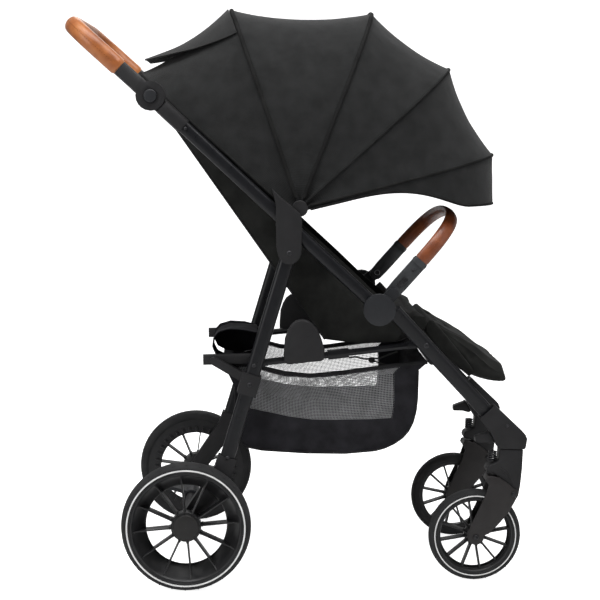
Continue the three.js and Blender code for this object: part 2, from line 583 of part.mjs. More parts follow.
// ---- Bumper bar: two arms on the stubs and a leather bow between them ----
const alongBumper = (s, p = 0) => at(at(bumperPivot, bumper.angle, s), bumper.angle + 90, p);
const armY = [bumper.half - bumper.thick / 2, bumper.half + bumper.thick / 2];
pair("bumper_arm", cut(
  slab([...arc(bumperPivot, 14, bumper.angle + 90, bumper.angle + 270, 8), alongBumper(22, -15),
    alongBumper(bumper.armLength, -15), alongBumper(bumper.armLength, 15), alongBumper(22, 15)], ...armY),
  disc(bumperPivot, pinRadius + running, bumper.half - 20, bumper.half + 20),
), greyPlastic);
const bowPoint = (s, y) => vec(alongBumper(s), y);
const halfBow = (side) => new THREE.CubicBezierCurve3(
  bowPoint(bumper.armLength + 1.3, side * bumper.half), bowPoint(bumper.armLength + 84, side * bumper.half),
  bowPoint(bumper.reach, side * 150), bowPoint(bumper.reach, 0)).getPoints(9);
const bumperCurve = new THREE.CatmullRomCurve3([...halfBow(1), ...halfBow(-1).reverse().slice(1)]);
piece("bumper_bar", sweep(bumperCurve, 15, bumper.deep, 18), leather);

// ---- Canopy: four bows on the bracket posts, and a cloth stretched from bow to bow ----
const archRound = 2 / 3;
const arch = (t, r, half) => ({
  r: r * Math.sin(t) ** archRound,
  y: half * Math.sign(Math.cos(t)) * Math.abs(Math.cos(t)) ** archRound,
});
const clothGap = 3;
const bowRadius = canopy.radius - canopy.cloth - clothGap;
const onCanopy = (angle, r, y) => vec(at(canopyPivot, angle, r), y);
const footStart = 0.02;

function bow(index) {
  const outerHalf = frameHalf - bracketHalf - gap - index * canopy.layer;
  const steps = 12;
  const rim = (inset) => Array.from({ length: steps + 1 }, (_, k) => {
    const t = (Math.PI * k) / steps;
    const p = arch(t, bowRadius - inset, outerHalf - inset);
    return new THREE.Vector2(p.r, k === 0 || k === steps ? Math.sign(Math.cos(t)) * (outerHalf - inset) : p.y);
  });
  const outline = new THREE.Shape([...rim(0), ...rim(canopy.bowDepth).reverse()]);
  const strip = new THREE.ExtrudeGeometry(outline, { depth: canopy.bowWidth, bevelEnabled: false });
  strip.translate(0, 0, -canopy.bowWidth / 2).rotateX(Math.PI / 2);
  // The strip lies in X and Z now: stand it in Y, then turn it to its angle about the pivots.
  strip.rotateX(-Math.PI / 2).rotateY(-radians(bowAngles[index]));
  const arched = solid(strip.translate(canopyPivot.x, 0, canopyPivot.z));
  const eye = disc(canopyPivot, 9, outerHalf - canopy.bowDepth, outerHalf);
  return cut(join(arched, eye, flip(eye)), disc(canopyPivot, smallPin + running, -frameHalf, frameHalf));
}
bowAngles.forEach((_, i) => piece(`canopy_bow_${i + 1}`, bow(i), satinBlack));

// A closed sheet between an outer and an inner grid of points, both [row][column].
function sheetSolid(outer, inner) {
  const [rows, columns] = [outer.length, outer[0].length];
  const points = [...outer.flat(), ...inner.flat()].flatMap((p) => [p.x, p.y, p.z]);
  const id = (side, r, c) => side * rows * columns + r * columns + c;
  const faces = [];
  const quad = (a, b, c, d) => faces.push(a, b, c, a, c, d);
  for (let r = 0; r < rows - 1; r++)
    for (let c = 0; c < columns - 1; c++) {
      quad(id(0, r, c), id(0, r + 1, c), id(0, r + 1, c + 1), id(0, r, c + 1));
      quad(id(1, r, c), id(1, r, c + 1), id(1, r + 1, c + 1), id(1, r + 1, c));
    }
  for (let c = 0; c < columns - 1; c++) {
    quad(id(0, 0, c), id(0, 0, c + 1), id(1, 0, c + 1), id(1, 0, c));
    quad(id(0, rows - 1, c + 1), id(0, rows - 1, c), id(1, rows - 1, c), id(1, rows - 1, c + 1));
  }
  for (let r = 0; r < rows - 1; r++) {
    quad(id(0, r + 1, 0), id(0, r, 0), id(1, r, 0), id(1, r + 1, 0));
    quad(id(0, r, columns - 1), id(0, r + 1, columns - 1), id(1, r + 1, columns - 1), id(1, r, columns - 1));
  }
  const geometry = new THREE.BufferGeometry();
  geometry.setAttribute("position", new THREE.Float32BufferAttribute(points, 3));
  geometry.setIndex(faces);
  return solid(geometry);
}

// One canopy panel: each row gives the angle and the reach factor of the arch at a place t along it.
function panel(rows) {
  const columns = 18;
  const edge = footStart * 2;
  const grid = (thin) => rows.map((row) => Array.from({ length: columns + 1 }, (_, k) => {
    const t = edge + ((Math.PI - 2 * edge) * k) / columns;
    const { angle, reach } = row(t);
    const p = arch(t, canopy.radius * reach - thin, canopy.half + canopy.cloth - thin);
    return onCanopy(angle, p.r, p.y);
  }));
  return sheetSolid(grid(0), grid(canopy.cloth));
}
const seamGap = THREE.MathUtils.radToDeg(0.2 / (canopy.radius / 4));
const straight = (angle) => () => ({ angle, reach: 1 });
const between = (from, to) => panel([straight(from - seamGap), straight(to + seamGap)]);
piece("canopy_back_panel", between(canopyBack, bowAngles[0]), canopyCloth);
for (let i = 0; i < bowAngles.length - 1; i++)
  piece(`canopy_panel_${i + 1}`, between(bowAngles[i], bowAngles[i + 1]), canopyCloth);
const lastBow = bowAngles[bowAngles.length - 1];
piece("canopy_visor", panel([
  straight(lastBow - seamGap),
  (t) => ({ angle: lastBow - seamGap - 0.6 - visorDrop * Math.sin(t) ** 2, reach: 1 - 0.08 * Math.sin(t) ** 2 }),
]), canopyCloth);

// ---- Origin under the middle of the whole, on the floor ----
const box = new THREE.Box3().setFromObject(group);
group.position.set(-(box.min.x + box.max.x) / 2, 0, -box.min.z);

export default group;
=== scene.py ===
import json
import math

import bmesh
import bpy
from mathutils import Matrix, Vector, noise

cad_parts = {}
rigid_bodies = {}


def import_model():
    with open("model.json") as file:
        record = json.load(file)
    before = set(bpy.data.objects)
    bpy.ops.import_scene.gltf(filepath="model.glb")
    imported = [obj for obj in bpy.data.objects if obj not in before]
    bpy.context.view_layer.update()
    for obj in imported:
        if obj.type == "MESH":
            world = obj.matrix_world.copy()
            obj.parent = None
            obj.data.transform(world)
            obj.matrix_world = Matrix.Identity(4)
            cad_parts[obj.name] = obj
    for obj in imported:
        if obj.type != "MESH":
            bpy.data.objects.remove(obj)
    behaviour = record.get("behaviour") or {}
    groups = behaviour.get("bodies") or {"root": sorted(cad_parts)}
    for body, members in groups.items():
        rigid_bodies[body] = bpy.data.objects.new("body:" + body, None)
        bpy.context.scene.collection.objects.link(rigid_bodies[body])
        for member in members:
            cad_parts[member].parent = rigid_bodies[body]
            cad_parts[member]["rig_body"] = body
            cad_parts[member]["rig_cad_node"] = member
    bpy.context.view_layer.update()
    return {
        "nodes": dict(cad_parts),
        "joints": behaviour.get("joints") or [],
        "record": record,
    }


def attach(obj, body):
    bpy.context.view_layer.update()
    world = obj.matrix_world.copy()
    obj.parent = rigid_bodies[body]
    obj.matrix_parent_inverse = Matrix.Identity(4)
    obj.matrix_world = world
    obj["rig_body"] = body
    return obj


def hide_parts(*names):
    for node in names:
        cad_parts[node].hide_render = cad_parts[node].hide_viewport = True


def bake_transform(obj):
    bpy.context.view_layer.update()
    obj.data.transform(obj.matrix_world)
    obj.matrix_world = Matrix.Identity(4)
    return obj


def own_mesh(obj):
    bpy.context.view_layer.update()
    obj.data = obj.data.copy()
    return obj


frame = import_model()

# ---- Studio: floor, lamps and camera ----
# The stroller stands on a plain pale floor that curves up into a white backdrop, under one wide soft
# lamp overhead and weaker ones at its sides, as a shop photographs such things.
mm = 0.001
scene = bpy.context.scene
scene.view_settings.view_transform = "Standard"


def only(*things):
    """Selects these objects alone, the first one active."""
    bpy.ops.object.select_all(action="DESELECT")
    for thing in things:
        thing.select_set(True)
    bpy.context.view_layer.objects.active = things[0]


def added(name):
    """Names what a primitive operator has just added."""
    thing = bpy.context.object
    thing.name = thing.data.name = name
    return thing


def settled(thing):
    """Puts a piece's place, turn and scale into its mesh."""
    only(thing)
    bpy.ops.object.transform_apply(location=True, rotation=True, scale=True)
    return thing


def opened(thing):
    """Opens a piece in edit mode, with all of it selected."""
    only(thing)
    bpy.ops.object.mode_set(mode="EDIT")
    bpy.ops.mesh.select_all(action="SELECT")


def closed(thing):
    bpy.ops.object.mode_set(mode="OBJECT")
    return thing


def outward(thing):
    """Turns every face of a piece outwards."""
    opened(thing)
    bpy.ops.mesh.normals_make_consistent(inside=False)
    return closed(thing)


def cube(name):
    bpy.ops.object.select_all(action="DESELECT")
    bpy.ops.mesh.primitive_cube_add(size=1)
    return added(name)


def ring_of(name, count):
    """A closed ring of vertices, to be drawn to an outline."""
    bpy.ops.object.select_all(action="DESELECT")
    bpy.ops.mesh.primitive_circle_add(vertices=count, radius=1)
    return added(name)


def bevelled(made, width, segments=2, angle=None):
    """Rounds a piece's edges by `width` millimetres; with an angle, only those sharper than it."""
    only(made)
    edge = made.modifiers.new("edge", "BEVEL")
    edge.width, edge.segments = width * mm, segments
    if angle:
        edge.limit_method, edge.angle_limit = "ANGLE", math.radians(angle)
    bpy.ops.object.modifier_apply(modifier="edge")
    return made


class Finish:
    """A material under construction: its Principled shader, and short ways to add and join nodes."""

    def __init__(self, name, rough, metal=0.0, gloss=0.5):
        self.material = bpy.data.materials.new(name)
        self.material.use_nodes = True
        self.tree = self.material.node_tree
        self.shader = self.tree.nodes["Principled BSDF"]
        self.shader.inputs["Roughness"].default_value = rough
        self.shader.inputs["Metallic"].default_value = metal
        self.shader.inputs["Specular IOR Level"].default_value = gloss
        self.where = self.node("ShaderNodeTexCoord").outputs["Object"]

    def node(self, kind, **settings):
        made = self.tree.nodes.new(kind)
        for key, value in settings.items():
            if key in made.inputs:
                made.inputs[key].default_value = value
            else:
                setattr(made, key, value)
        return made

    def join(self, source, target):
        self.tree.links.new(source, target)

    def mottle(self, size, detail=4.0):
        """A noise whose blotches are about `size` metres across."""
        spots = self.node("ShaderNodeTexNoise", Scale=1 / size, Detail=detail)
        self.join(self.where, spots.inputs["Vector"])
        return spots.outputs["Fac"]

    def colours(self, factor, *stops):
        """Colours the surface from a factor, through (place, colour) stops."""
        ramp = self.node("ShaderNodeValToRGB")
        while len(ramp.color_ramp.elements) < len(stops):
            ramp.color_ramp.elements.new(0.5)
        for element, (place, colour) in zip(ramp.color_ramp.elements, stops):
            element.position = place
            element.color = (*colour, 1)
        self.join(factor, ramp.inputs["Fac"])
        self.join(ramp.outputs["Color"], self.shader.inputs["Base Color"])
        return ramp.outputs["Color"]

    def span(self, factor, low, high):
        """A factor around a half, spread from low to high."""
        ranged = self.node("ShaderNodeMapRange")
        for slot, value in zip(("From Min", "From Max", "To Min", "To Max"), (0.3, 0.7, low, high)):
            ranged.inputs[slot].default_value = value
        self.join(factor, ranged.inputs["Value"])
        return ranged.outputs["Result"]

    def roughened(self, factor, low, high):
        self.join(self.span(factor, low, high), self.shader.inputs["Roughness"])

    def relief(self, *layers):
        """Stacks bumps, each a (factor, height in metres) pair."""
        below = None
        for factor, height in layers:
            bump = self.node("ShaderNodeBump", Distance=height, Strength=1.0)
            self.join(factor, bump.inputs["Height"])
            if below:
                self.join(below, bump.inputs["Normal"])
            below = bump.outputs["Normal"]
        self.join(below, self.shader.inputs["Normal"])


def plain(name, rough, gloss, size, dark, light, skin=None, worn=None, metal=0.0, stops=(0.3, 0.7)):
    """Blotches from dark to light, a fine skin (height, size, detail) and wear (size, least, most)."""
    made = Finish(name, rough, metal, gloss)
    made.colours(made.mottle(size), *zip(stops, (dark, light)))
    if worn:
        made.roughened(made.mottle(worn[0]), *worn[1:])
    if skin:
        made.relief((made.mottle(*skin[1:]), skin[0]))
    return made


bpy.ops.object.select_all(action="DESELECT")
bpy.ops.mesh.primitive_grid_add(x_subdivisions=2, y_subdivisions=60, size=1)
floor = added("floor")
bend_at, bend_radius = 3.0, 2.0
for v in floor.data.vertices:
    run = -4.0 + (v.co.y + 0.5) * 12
    turn = min(max((run - bend_at) / bend_radius, 0), 1) * math.pi / 2
    rise = bend_radius * (1 - math.cos(turn)) + max(run - bend_at - bend_radius, 0)
    v.co = Vector((v.co.x * 16, bend_at + bend_radius * math.sin(turn) if run > bend_at else run, rise))
stage_white = plain("studio_floor", 0.9, 0.1, 0.8, (0.86, 0.86, 0.86), (0.88, 0.88, 0.88))
seen = stage_white.node("ShaderNodeLightPath")
lit = stage_white.node("ShaderNodeMath", operation="MULTIPLY")
stage_white.join(seen.outputs["Is Camera Ray"], lit.inputs[0])
lit.inputs[1].default_value = 0.9
stage_white.shader.inputs["Emission Color"].default_value = (1, 1, 1, 1)
stage_white.join(lit.outputs[0], stage_white.shader.inputs["Emission Strength"])
floor.data.materials.append(stage_white.material)

world = bpy.data.worlds.new("studio")
scene.world = world
world.use_nodes = True
sky = world.node_tree.nodes
back = sky["Background"]
bright = sky.new("ShaderNodeBackground")
back.inputs["Color"].default_value = (1, 1, 1, 1)
back.inputs["Strength"].default_value = 0.21
mixed, path = sky.new("ShaderNodeMixShader"), sky.new("ShaderNodeLightPath")
bright.inputs["Color"].default_value = (1, 1, 1, 1)
join_sky = world.node_tree.links.new
join_sky(path.outputs["Is Camera Ray"], mixed.inputs[0])
join_sky(back.outputs[0], mixed.inputs[1])
join_sky(bright.outputs[0], mixed.inputs[2])
join_sky(mixed.outputs[0], sky["World Output"].inputs["Surface"])


def lamp(name, place, aim, size, power):
    bpy.ops.object.light_add(type="AREA", location=place)
    light = added(name)
    light.data.shape = "RECTANGLE"
    light.data.size, light.data.size_y = size
    light.data.energy = power
    light.rotation_euler = (Vector(aim) - Vector(place)).to_track_quat("-Z", "Y").to_euler()


lamp("softbox_top", (0.0, -0.9, 3.1), (0, 0, 0.5), (3.2, 1.6), 78)
lamp("softbox_left", (-2.6, -2.2, 1.7), (0, 0, 0.6), (1.4, 1.8), 30)
lamp("softbox_right", (2.9, -1.3, 1.5), (0, 0, 0.5), (1.2, 1.8), 7)
lamp("softbox_back", (0.3, 2.4, 2.4), (0, 0, 0.6), (2.4, 1.2), 20)

yaw, pitch, roll = (math.radians(a) for a in (1.975, 6.69, 1.436))
right = Vector((math.cos(yaw), -math.sin(yaw), 0))
ahead = Vector((math.sin(yaw) * math.cos(pitch), math.cos(yaw) * math.cos(pitch), -math.sin(pitch)))
up = right.cross(ahead)
tilted_right = right * math.cos(roll) + up * math.sin(roll)
tilted_up = up * math.cos(roll) - right * math.sin(roll)
bpy.ops.object.camera_add()
camera = added("camera")
camera.data.lens = 90.81
camera.data.sensor_width = 36
turn = Matrix((tilted_right, tilted_up, -ahead)).transposed().to_4x4()
camera.matrix_world = Matrix.Translation((-0.1012, -3.2326, 0.9376)) @ turn
scene.camera = camera

# ---- Wheels: foam-filled tyres ----
# Each tyre is moulded in black foam rubber, round over the tread with a fine pattern of ribs and sipes,
# and has a thin white reflective ring let into its outer sidewall. It sits on the rim's bead.
axle = {j["child"]: Vector(j["pos_m"]) for j in frame["joints"] if "pos_m" in j}
left_first = (("L", 1), ("R", -1))
wheel_kinds = {
    "rear": dict(radius=130, half=22, bead=112, lip=81, hub=26, ring=117.5, blades=12, phase=6.5, blade=26),
    "front": dict(radius=96, half=17, bead=79, lip=70, hub=17, ring=84.0, blades=12, phase=11.0, blade=19),
}


def spun(name, profile, centre, steps):
    """A closed profile of (radius, distance along Y) millimetres, spun round a Y axis through centre."""
    ring = ring_of(name, len(profile))
    for v, (radius, along) in zip(ring.data.vertices, profile):
        v.co = Vector((radius * mm, along * mm, 0))
    opened(ring)
    bpy.ops.mesh.spin(steps=steps, angle=math.tau, center=(0, 0, 0), axis=(0, 1, 0))
    bpy.ops.mesh.select_all(action="SELECT")
    bpy.ops.mesh.remove_doubles(threshold=1e-5)
    bpy.ops.mesh.normals_make_consistent(inside=False)
    bpy.ops.object.mode_set(mode="OBJECT")
    ring.location = centre
    return settled(ring)


def sided(profile, side):
    """A profile drawn for the left side, put on the left (1) or the right (-1)."""
    return [(r, h * side) for r, h in profile]


def smoothed(thing, angle):
    only(thing)
    bpy.ops.object.shade_smooth_by_angle(angle=math.radians(angle))
    return thing


def painted(thing, finish):
    thing.data.materials.clear()
    thing.data.materials.append(finish.material)
    return thing


def joined(name, pieces):
    only(*pieces)
    if len(pieces) > 1:
        bpy.ops.object.join()
    pieces[0].name = pieces[0].data.name = name
    return pieces[0]


rubber = plain("tyre_rubber", 0.78, 0.35, 0.05, (0.014, 0.014, 0.015), (0.026, 0.026, 0.027),
               skin=(0.0002, 0.0016, 6), worn=(0.03, 0.68, 0.88), stops=(0.35, 0.7))
reflective = plain("reflective_ring", 0.5, 0.5, 0.02, (0.78, 0.78, 0.77), (0.9, 0.9, 0.9), skin=(0.00005, 0.001))

for kind, w in wheel_kinds.items():
    crown = w["radius"]
    half = w["half"]
    for hand, side in left_first:
        centre = axle[f"{kind}_wheel_{hand}"]
        tread = []
        for k in range(13):
            a = (k - 6) / 6 * math.pi / 2
            drop = 0.7 if k in (3, 5, 7, 9) else 0.0
            tread.append((crown - 9 + (9 - drop) * math.cos(a), (half - 1.2) * math.sin(a)))
        profile = ([(w["bead"] - 0.9, -half + 2.5), (w["bead"] + 3, -half + 0.6), (w["bead"] + 5, -half + 0.3)]
                   + tread + [(w["bead"] + 5, half - 0.3), (w["bead"] + 3, half - 0.6),
                              (w["bead"] - 0.9, half - 2.5)])
        tyre = smoothed(painted(spun(f"{kind}_tyre_foam_{hand}", profile, centre, 96), rubber), 50)
        out = (half - 1.15) * side
        wide = 1.8 if kind == "rear" else 1.4
        ring_profile = [(w["ring"] - wide, out - side * 1.2), (w["ring"] - wide + 0.3, out + side * 0.95),
                        (w["ring"] + wide - 0.3, out + side * 0.95), (w["ring"] + wide, out - side * 1.2)]
        ring = smoothed(painted(spun(f"{kind}_tyre_ring_{hand}", ring_profile, centre, 96), reflective), 40)
        # Sipes: short bars across the shoulders, modelled once and copied round the tread.
        sipes = []
        count = 60 if kind == "rear" else 48
        for k in range(count):
            sipe = cube("sipe")
            sipe.scale = (0.0013, 0.0065, 0.0024)
            shoulder = 1 if k % 2 else -1
            sipe.rotation_euler = (0, 0, math.radians(24 * shoulder))
            settled(sipe)
            sipe.data.transform(Matrix.Translation((0, shoulder * half * 0.62 * mm, (crown - 3.4) * mm)))
            sipe.data.transform(Matrix.Rotation(math.tau * k / count, 4, "Y"))
            sipe.data.transform(Matrix.Translation(centre))
            sipes.append(sipe)
        tread_bars = painted(joined(f"{kind}_tread_bars_{hand}", sipes), rubber)
        for piece in (tyre, ring, tread_bars):
            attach(piece, f"{kind}_wheel_{hand}")
        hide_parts(f"{kind}_tyre_{hand}")

# ---- Wheels: dished rims with blade spokes ----
# Each rim is one moulding of glossy black nylon: a deep dish that narrows inwards, twelve thin blades
# that run on as ribs over the dish, small webs at their roots and a smooth pressed-in hub cap.
nylon = plain("rim_nylon", 0.34, 0.45, 0.04, (0.009, 0.009, 0.010), (0.017, 0.017, 0.018),
              skin=(0.00004, 0.0009), worn=(0.02, 0.28, 0.44), stops=(0.3, 0.72))
cap_plastic = plain("hub_cap_plastic", 0.5, 0.4, 0.03, (0.010, 0.009, 0.009), (0.015, 0.014, 0.014),
                    skin=(0.00008, 0.0012))


def bar(name, size, bevel, place=(0, 0, 0)):
    """A bar with rounded edges: a cube drawn out to size, in millimetres."""
    made = cube(name)
    made.scale = Vector(size) * mm
    opened(settled(made))
    bpy.ops.mesh.bevel(offset=bevel * mm, segments=2, affect="EDGES")
    bpy.ops.object.mode_set(mode="OBJECT")
    made.data.transform(Matrix.Translation(Vector(place) * mm))
    return made


def plate(name, outline, thick, bevel):
    """A flat plate in X and Y, thick along Z: a ring of vertices drawn to the outline and filled."""
    made = ring_of(name, len(outline))
    for v, (x, y) in zip(made.data.vertices, outline):
        v.co = Vector((x * mm, y * mm, -thick / 2 * mm))
    opened(made)
    bpy.ops.mesh.edge_face_add()
    bpy.ops.mesh.extrude_region_move(TRANSFORM_OT_translate={"value": (0, 0, thick * mm)})
    bpy.ops.mesh.select_all(action="SELECT")
    bpy.ops.mesh.normals_make_consistent(inside=False)
    bpy.ops.object.mode_set(mode="OBJECT")
    return bevelled(made, bevel, 2, 30) if bevel else made


for kind, w in wheel_kinds.items():
    half = w["half"] - 4
    bead, lip, hub = w["bead"], w["lip"], w["hub"]
    for hand, side in left_first:
        centre = axle[f"{kind}_wheel_{hand}"]
        dish = [(bead - 0.3, -half), (bead - 0.3, half), (bead - 1.5, half + 1.2), (bead - 3.6, half + 1.2),
                (bead - 5.2, half - 0.4), (bead - 7.5, half - 5), (lip + (bead - lip) * 0.45, -half * 0.15),
                (lip + 4, -half + 7), (lip + 0.8, -half + 3.4), (lip, -half + 1.6), (lip + 1.2, -half + 0.1)]
        shell = spun("dish", sided(dish, side), centre, 72)
        face = -half + w["blade"] + 9 if kind == "rear" else half - 3
        root = face - 9
        knob = [(6.4, -half - 1), (hub * 0.8, -half - 1), (hub + 4, -half + 3), (hub + 4.5, root - 1.5),
                (hub + 3.2, root), (hub + 0.6, root + 0.5), (hub + 0.2, root + 1.5), (6.4, root + 1.5)]
        barrel = spun("barrel", sided(knob, side), centre, 48)
        parts = [shell, barrel]
        deep = w["blade"]
        for k in range(w["blades"]):
            # The blade runs from the hub to the dish, and on over its slope as a low rib.
            inner, outer = hub - 1, bead - 4
            outline = [(inner, -half + 0.5), (lip + 0.8, -half + 0.5), (lip + 2, -half + 2.5),
                       (outer, half - 4), (outer - 3, half - 2.5), (lip + (outer - lip) * 0.6, -half + deep),
                       (inner, -half + deep + 1)]
            blade = plate("blade", sided(outline, side), 2.6 if kind == "rear" else 3.4, 0.5)
            web = bar("web", (6, deep - 3, 6), 2.2, (hub + 6.5, side * (-half + deep / 2), 0))
            turned = Matrix.Rotation(-math.radians(360 * k / w["blades"] - side * w["phase"]), 4, "Y")
            for made in (blade, web):
                made.data.transform(turned)
                made.data.transform(Matrix.Translation(centre))
                parts.append(made)
        rim = smoothed(painted(joined(f"{kind}_rim_moulding_{hand}", parts), nylon), 32)
        cap = [(0.4, face - 8), (hub, face - 8), (hub, face - 3.2), (hub - 0.8, face - 1.6),
               (hub - 2.6, face - 0.8), (hub * 0.5, face - 0.1), (0.4, face)]
        cover = spun(f"{kind}_hub_cap_{hand}", sided(cap, side), centre, 48)
        smoothed(painted(cover, cap_plastic), 40)
        for piece in (rim, cover):
            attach(piece, f"{kind}_wheel_{hand}")
        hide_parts(f"{kind}_rim_{hand}")

# ---- Tubes: uppers, fronts, rear legs, links, bows and cross tube ----
# Oval and round aluminium tube, cut to length and powder coated satin black with a fine orange peel.
# The side tubes are drawn as ovals; links, bows and cross tube keep the frame's shape, edges rounded.
coat = plain("satin_black_coat", 0.33, 0.34, 0.09, (0.0045, 0.0047, 0.0062), (0.0075, 0.0079, 0.0100),
             skin=(0.00006, 0.0022, 2), worn=(0.012, 0.27, 0.4))


def drawn_round(node, width, segments=4, angle=28, name=None):
    """A copy of a frame node, its facets merged and its edges rounded by `width` millimetres."""
    source = frame["nodes"][node]
    copy = source.copy()
    copy.data = source.data.copy()
    copy.name = copy.data.name = name or node + "_made"
    copy.parent = None
    copy.matrix_world = Matrix.Identity(4)
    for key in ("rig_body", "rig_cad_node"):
        if key in copy:
            del copy[key]
    scene.collection.objects.link(copy)
    opened(copy)
    bpy.ops.mesh.remove_doubles(threshold=1e-5)
    bpy.ops.mesh.dissolve_limited(angle_limit=math.radians(2))
    bpy.ops.object.mode_set(mode="OBJECT")
    if width:
        bevelled(copy, width, segments, angle)
    return smoothed(copy, 38)


def placed(piece, nodes, finish, body, angle=None):
    """Paints a piece, gives it its body, and hides the nodes it stands for."""
    painted(piece, finish)
    if angle:
        smoothed(piece, angle)
    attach(piece, body)
    if nodes:
        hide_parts(*nodes)
    return piece


body_of = {node: body for body, nodes in frame["record"]["behaviour"]["bodies"].items() for node in nodes}


def stands_for(piece, node, finish, angle=None):
    """Puts a piece in the place of a frame node, with that node's body."""
    return placed(piece, [node], finish, body_of[node], angle)


def remade(node, width, finish, segments=4, angle=28):
    return stands_for(drawn_round(node, width, segments, angle), node, finish)


def draped_grid(name, across, along, place, size):
    """A grid of cloth laid by place(u, v), its UV map in metres over size (width, length)."""
    bpy.ops.object.select_all(action="DESELECT")
    bpy.ops.mesh.primitive_grid_add(x_subdivisions=across, y_subdivisions=along, size=1)
    made = added(name)
    for v in made.data.vertices:
        v.co = place(v.co.x + 0.5, v.co.y + 0.5)
    for corner in made.data.uv_layers.active.data:
        corner.uv = (corner.uv.x * size[0], corner.uv.y * size[1])
    return made


def sleeve(name, path, normal, radii, sides=14, square=1.0):
    """A tube of cloth, leather or cord along a flat path: radii(u) gives (in its plane, across it)."""
    steps = len(path) - 1
    n = Vector(normal).normalized()

    def place(u, v):
        k = min(max(round(u * steps), 0), steps)
        tangent = (path[min(k + 1, steps)] - path[max(k - 1, 0)]).normalized()
        out = (n - tangent * n.dot(tangent)).normalized()
        a, b = radii(k / steps)
        c, d = (math.copysign(abs(f) ** square, f)
                for f in (math.cos(-v * math.tau), math.sin(-v * math.tau)))
        return path[k] + out.cross(tangent) * (a * c) + out * (b * d)

    long = sum((path[k + 1] - path[k]).length for k in range(steps))
    girth = math.pi * sum(radii(0.5))
    made = draped_grid(name, steps, sides, place, (long, girth))
    opened(made)
    bpy.ops.mesh.remove_doubles(threshold=2e-6)
    bpy.ops.mesh.fill_holes(sides=0)
    bpy.ops.mesh.normals_make_consistent(inside=False)
    return closed(made)


# The side tubes, straight lengths of rounded oval section between their pivots, in millimetres.
tube_half = 232
side_tubes = {
    "upper_tube": dict(a=(370.1, 576.4, tube_half), b=(-55.1, 955.3, tube_half), deep=26, wide=21,
                       eye=(376, 571, 22)),
    "front_tube": dict(a=(406.5, 567, tube_half), b=(623.1, 342.0, 170.3), deep=31, wide=22, eye=None),
    "rear_leg": dict(a=(194, 680, tube_half), b=(72.1, 237.4, tube_half), deep=30, wide=21, eye=(194, 680, 15)),
}
rear_axle_at = axle["brake_pedal"]


def side_place(x, z, y=0.0):
    """Millimetres forward of the rear axle, up from the floor and out to the left."""
    return Vector((rear_axle_at.x + x * mm, y * mm, z * mm))


for hand, side in left_first:
    for tube, t in side_tubes.items():
        start, end = (side_place(x, z, side * y) for x, z, y in (t["a"], t["b"]))
        run = [start.lerp(end, k / 12) for k in range(13)]
        parts = [sleeve(tube, run, (0, 1, 0), lambda u: (t["deep"] / 2 * mm, t["wide"] / 2 * mm), 40, 0.74)]
        if t["eye"]:
            x, z, radius = t["eye"]
            rim = [(radius - 1.5, -10.5), (radius, -9), (radius, 9), (radius - 1.5, 10.5),
                   (4.5, 10.5), (4.5, -10.5)]
            parts.append(spun("eye", rim, side_place(x, z, side * tube_half), 48))
        node = f"{tube}_{hand}"
        placed(joined(f"{node}_drawn", parts), [node], coat, body_of[node], 40)
    smoothed(remade(f"side_link_{hand}", 1.4, coat), 50)
smoothed(remade("front_cross_tube", 1.0, coat), 50)
for k in range(1, 5):
    remade(f"canopy_bow_{k}", 0.8, coat, 2)

# ---- Moulded fittings: hinges, housings, rails, fold discs, arms, axle and pedal ----
# Glass-filled nylon mouldings, spark-eroded to a fine matt skin, with their edges broken by a small
# radius. They are pinned or riveted to the tubes.
nylon_matt = plain("matt_nylon", 0.52, 0.32, 0.04, (0.0125, 0.0122, 0.013), (0.0185, 0.018, 0.0195),
                   skin=(0.00012, 0.0008, 5), worn=(0.01, 0.46, 0.62))
nylon_grey = plain("grey_nylon", 0.46, 0.45, 0.04, (0.0115, 0.0122, 0.0150), (0.0170, 0.0182, 0.0215),
                   skin=(0.0001, 0.0008, 5), worn=(0.012, 0.4, 0.55))
arm_grey = plain("arm_nylon", 0.42, 0.45, 0.02, (0.030, 0.032, 0.035), (0.052, 0.055, 0.059),
                 skin=(0.0001, 0.0008, 5))
fork_brown = plain("fork_nylon", 0.45, 0.42, 0.03, (0.0145, 0.0125, 0.0125), (0.021, 0.0185, 0.0185),
                   skin=(0.0001, 0.0009, 5))

for hand, _ in left_first:
    for fitting, width, finish in (
            ("handle_hinge", 2.2, nylon_matt), ("handle_arm", 2.2, nylon_matt), ("handle_button", 2.6, nylon_grey),
            ("basket_rail", 2.0, nylon_matt),
            ("front_housing", 3.4, nylon_matt), ("caster_lock", 1.6, nylon_matt),
            ("fold_disc", 1.6, nylon_grey),
            ("bumper_arm", 2.0, arm_grey)):
        remade(f"{fitting}_{hand}", width, finish, 3)
remade("rear_axle", 1.6, nylon_matt, 3)
remade("brake_pedal", 1.6, nylon_grey, 3)

# ---- Leg brackets, link covers, casters, bolts and brake teeth ----
# More nylon mouldings, drawn to their own outlines. The caster head is a thick knee: a post under the
# housing, an arm to the fork's bolt, and a coil spring between the two. Bolts are blackened steel.
black_bolt = plain("blackened_steel", 0.4, 0.5, 0.003, (0.03, 0.03, 0.032), (0.06, 0.06, 0.064),
                   skin=(0.00003, 0.0006), metal=0.8)


def standing_plate(name, outline, y0, y1, bevel):
    """A plate in the side plane, from y0 to y1, its outline in millimetres about the rear axle's foot."""
    made = plate(name, outline, y1 - y0, 0)
    made.data.transform(Matrix.Rotation(math.radians(90), 4, "X"))
    made.data.transform(Matrix.Translation((rear_axle_at.x, (y0 + y1) / 2 * mm, 0)))
    return bevelled(made, bevel, 3, 24)


caster_at = 172
spring_turns, tooth_count = 5, 36
fork_in, fork_out = 20, 25.5
fork_bolts = {"fork": (670, 188), "axle": (595, 96)}
hub_at = ((axle["canopy_2"].x - rear_axle_at.x) / mm, axle["canopy_2"].z / mm)


